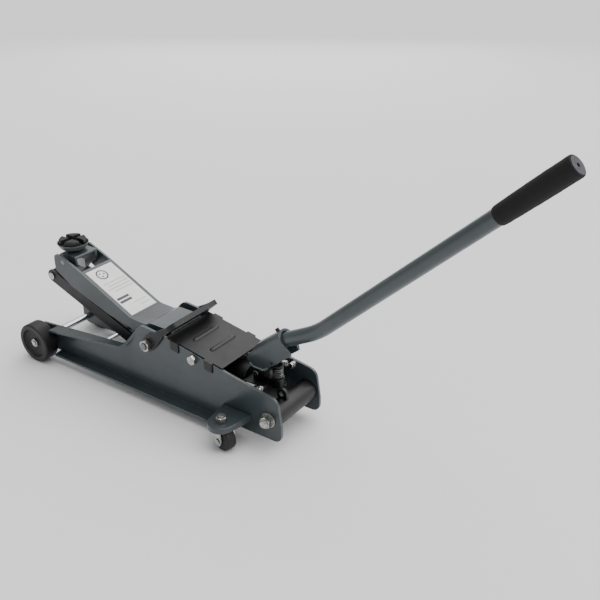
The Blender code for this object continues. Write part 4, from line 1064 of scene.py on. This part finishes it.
@dataclass
class FrontWheels:
    """The two solid moulded wheels, dished around their axle nuts; lengths in millimetres."""
    radius: float = 38.0
    width: float = 29.0
    bore: float = 6.55

    def outline(self) -> list[tuple[float, float]]:
        """The wheel's section, from its inner face out.

        Returns:
            Radius and height pairs, in metres.
        """
        r, w, b = self.radius, self.width, self.bore
        section = [(b, 0.0), (b + 8, 0.0), (b + 9, 1.5), (r - 13, 1.5), (r - 11, 0.0), (r - 3.4, 0.0)]
        corner = 3.4
        for step in range(1, 6):
            angle = math.pi / 2 * step / 6
            section.append((r - corner + corner * math.sin(angle), corner - corner * math.cos(angle)))
        crown = 8
        for step in range(crown + 1):
            share = step / crown
            section.append((r - 0.25 * (2 * share - 1) ** 2, corner + (w - 2 * corner) * share))
        for step in range(1, 6):
            angle = math.pi / 2 * step / 6
            section.append((r - corner + corner * math.cos(angle), w - corner + corner * math.sin(angle)))
        section += [(r - 3.6, w), (r - 8.4, w), (r - 9.2, w - 0.3), (r - 10.2, w - 2.2), (r - 11.6, w - 4.6),
                    (r - 13.4, w - 6.0), (r - 17, w - 6.8), (14.0, w - 7.2), (12.4, w - 6.6),
                    (11.4, w - 6.4), (b, w - 6.4)]
        return [(a * MM, c * MM) for a, c in section]

    def build(self) -> None:
        """Turn both wheels."""
        for side, way in (("left", Y), ("right", -Y)):
            low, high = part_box(f"front_wheel_{side}")
            middle = (low + high) / 2
            inner = min(abs(low.y), abs(high.y))
            origin = Vector((middle.x, way.y * inner, middle.z))
            piece = revolve(f"front_wheel_{side}_fine", self.outline(), origin, way, 96, ring=True)
            place(settle(piece), f"front_wheel_{side}", Slot.PLASTIC, POLYAMIDE, (f"front_wheel_{side}",))


@dataclass
class Casters:
    """Both rear casters with their brackets."""
    yaw: float = math.radians(12)
    bracket_bend: float = 1.6 * MM

    def build(self) -> None:
        """Make both brackets, forks, nuts, pins and wheels."""
        for side, sign in (("left", 1), ("right", -1)):
            refined(f"caster_bracket_{side}", self.bracket_bend, "frame", Slot.SLATE, SLATE)
            refined(f"caster_fork_{side}", 0.6 * MM, f"caster_{side}", Slot.ZINC, ZINC)
            HexFastener(f"caster_nut_{side}", Z, f"caster_{side}", 16 * MM, 9 * MM,
                        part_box(f"caster_nut_{side}")[0].z, bore=5.3 * MM).build()
            axle = Vector((math.sin(self.yaw), sign * math.cos(self.yaw), 0))
            returned(f"caster_pin_{side}", axle, f"caster_{side}", Slot.ZINC, ZINC, 0.6 * MM)
            returned(f"caster_wheel_{side}", axle, f"caster_wheel_{side}", Slot.RUBBER, RUBBER,
                     1.2 * MM, SIDES)


@dataclass
class Studio:
    """Pale floor, soft lights and the camera."""
    eye: tuple[float, float, float] = (-640.5, 930.4, 826.0)
    heading: float = math.radians(-55.2)
    pitch: float = math.radians(26.9)
    lens: float = 49.8
    floor_half: float = 14.0

    def build(self) -> None:
        """Set the stage."""
        self.floor()
        self.lights()
        self.camera()

    def floor(self) -> None:
        """A plain pale floor."""
        half = self.floor_half
        corners = [Vector((x, y, 0)) for x, y in ((-half, -half), (half, -half), (half, half), (-half, half))]
        ground = mesh_object("studio_floor", corners, [(0, 1, 2, 3)])
        made = bpy.data.materials.new("pale_floor")
        made.use_nodes = True
        tree = made.node_tree
        shader = tree.nodes["Principled BSDF"]
        noise = add(tree, "TexNoise", {"Scale": 3.0}, {"Vector": add(tree, "TexCoord").outputs["Object"]})
        tone = add(tree, "Mix", {6: linear("EFEFEF"), 7: linear("ECECED")}, {0: noise.outputs["Fac"]},
                   data_type="RGBA")
        tree.links.new(tone.outputs[2], shader.inputs["Base Color"])
        shader.inputs["Roughness"].default_value = 0.9
        shader.inputs["Specular IOR Level"].default_value = 0.1
        ground.data.materials.append(made)

    def lights(self) -> None:
        """A soft surround, a broad light from above and two panels."""
        world = bpy.data.worlds.new("studio_surround")
        bpy.context.scene.world = world
        world.use_nodes = True
        sky = world.node_tree.nodes["Background"]
        sky.inputs["Color"].default_value = linear("FFFFFF")
        sky.inputs["Strength"].default_value = 0.55
        sun = bpy.data.lights.new("ceiling_softbox", "SUN")
        sun.energy = 2.9
        sun.angle = math.radians(75)
        lamp = bpy.data.objects.new("ceiling_softbox", sun)
        bpy.context.scene.collection.objects.link(lamp)
        lamp.matrix_world = Vector((0.25, 0.4, -1)).to_track_quat("-Z", "Y").to_matrix().to_4x4()
        self.panel("far_panel", Vector((1.8, -2.6, 1.5)), Vector((0.1, 0, 0.1)), 2.4, 22)
        self.panel("rear_panel", Vector((-2.2, -1.0, 1.2)), Vector((0, 0, 0.15)), 1.2, 12)

    def panel(self, name: str, spot: Vector, target: Vector, size: float, power: float) -> None:
        """A square soft light.

        Args:
            name: the light's name.
            spot: where it hangs.
            target: what it faces.
            size: its side.
            power: its power in watts.
        """
        light = bpy.data.lights.new(name, "AREA")
        light.size = size
        light.energy = power
        lamp = bpy.data.objects.new(name, light)
        bpy.context.scene.collection.objects.link(lamp)
        aim = (target - spot).to_track_quat("-Z", "Y").to_matrix().to_4x4()
        lamp.matrix_world = Matrix.Translation(spot) @ aim

    def camera(self) -> None:
        """The camera, looking forwards and down from behind the jack's left side."""
        data = bpy.data.cameras.new("studio_camera")
        data.sensor_width = 36
        data.lens = self.lens
        eye = bpy.data.objects.new("studio_camera", data)
        bpy.context.scene.collection.objects.link(eye)
        ahead = Vector((math.cos(self.heading) * math.cos(self.pitch),
                        math.sin(self.heading) * math.cos(self.pitch), -math.sin(self.pitch)))
        right = Vector((math.sin(self.heading), -math.cos(self.heading), 0))
        pose = Matrix((right, right.cross(ahead), -ahead)).transposed().to_4x4()
        pose.translation = at(*self.eye)
        eye.matrix_world = pose
        bpy.context.scene.camera = eye


def main() -> None:
    """Build every sub-assembly around the frame."""
    logging.basicConfig(level=logging.INFO, format="%(message)s")
    Studio().build()
    plates = SidePlates()
    plates.build()
    plates.fasteners()
    for part in (Cover(), Hydraulics(), ReturnSprings(), Lift(), Label(), Handle(), FrontWheels(), Casters()):
        part.build()


if __name__ == "__main__":
    main()
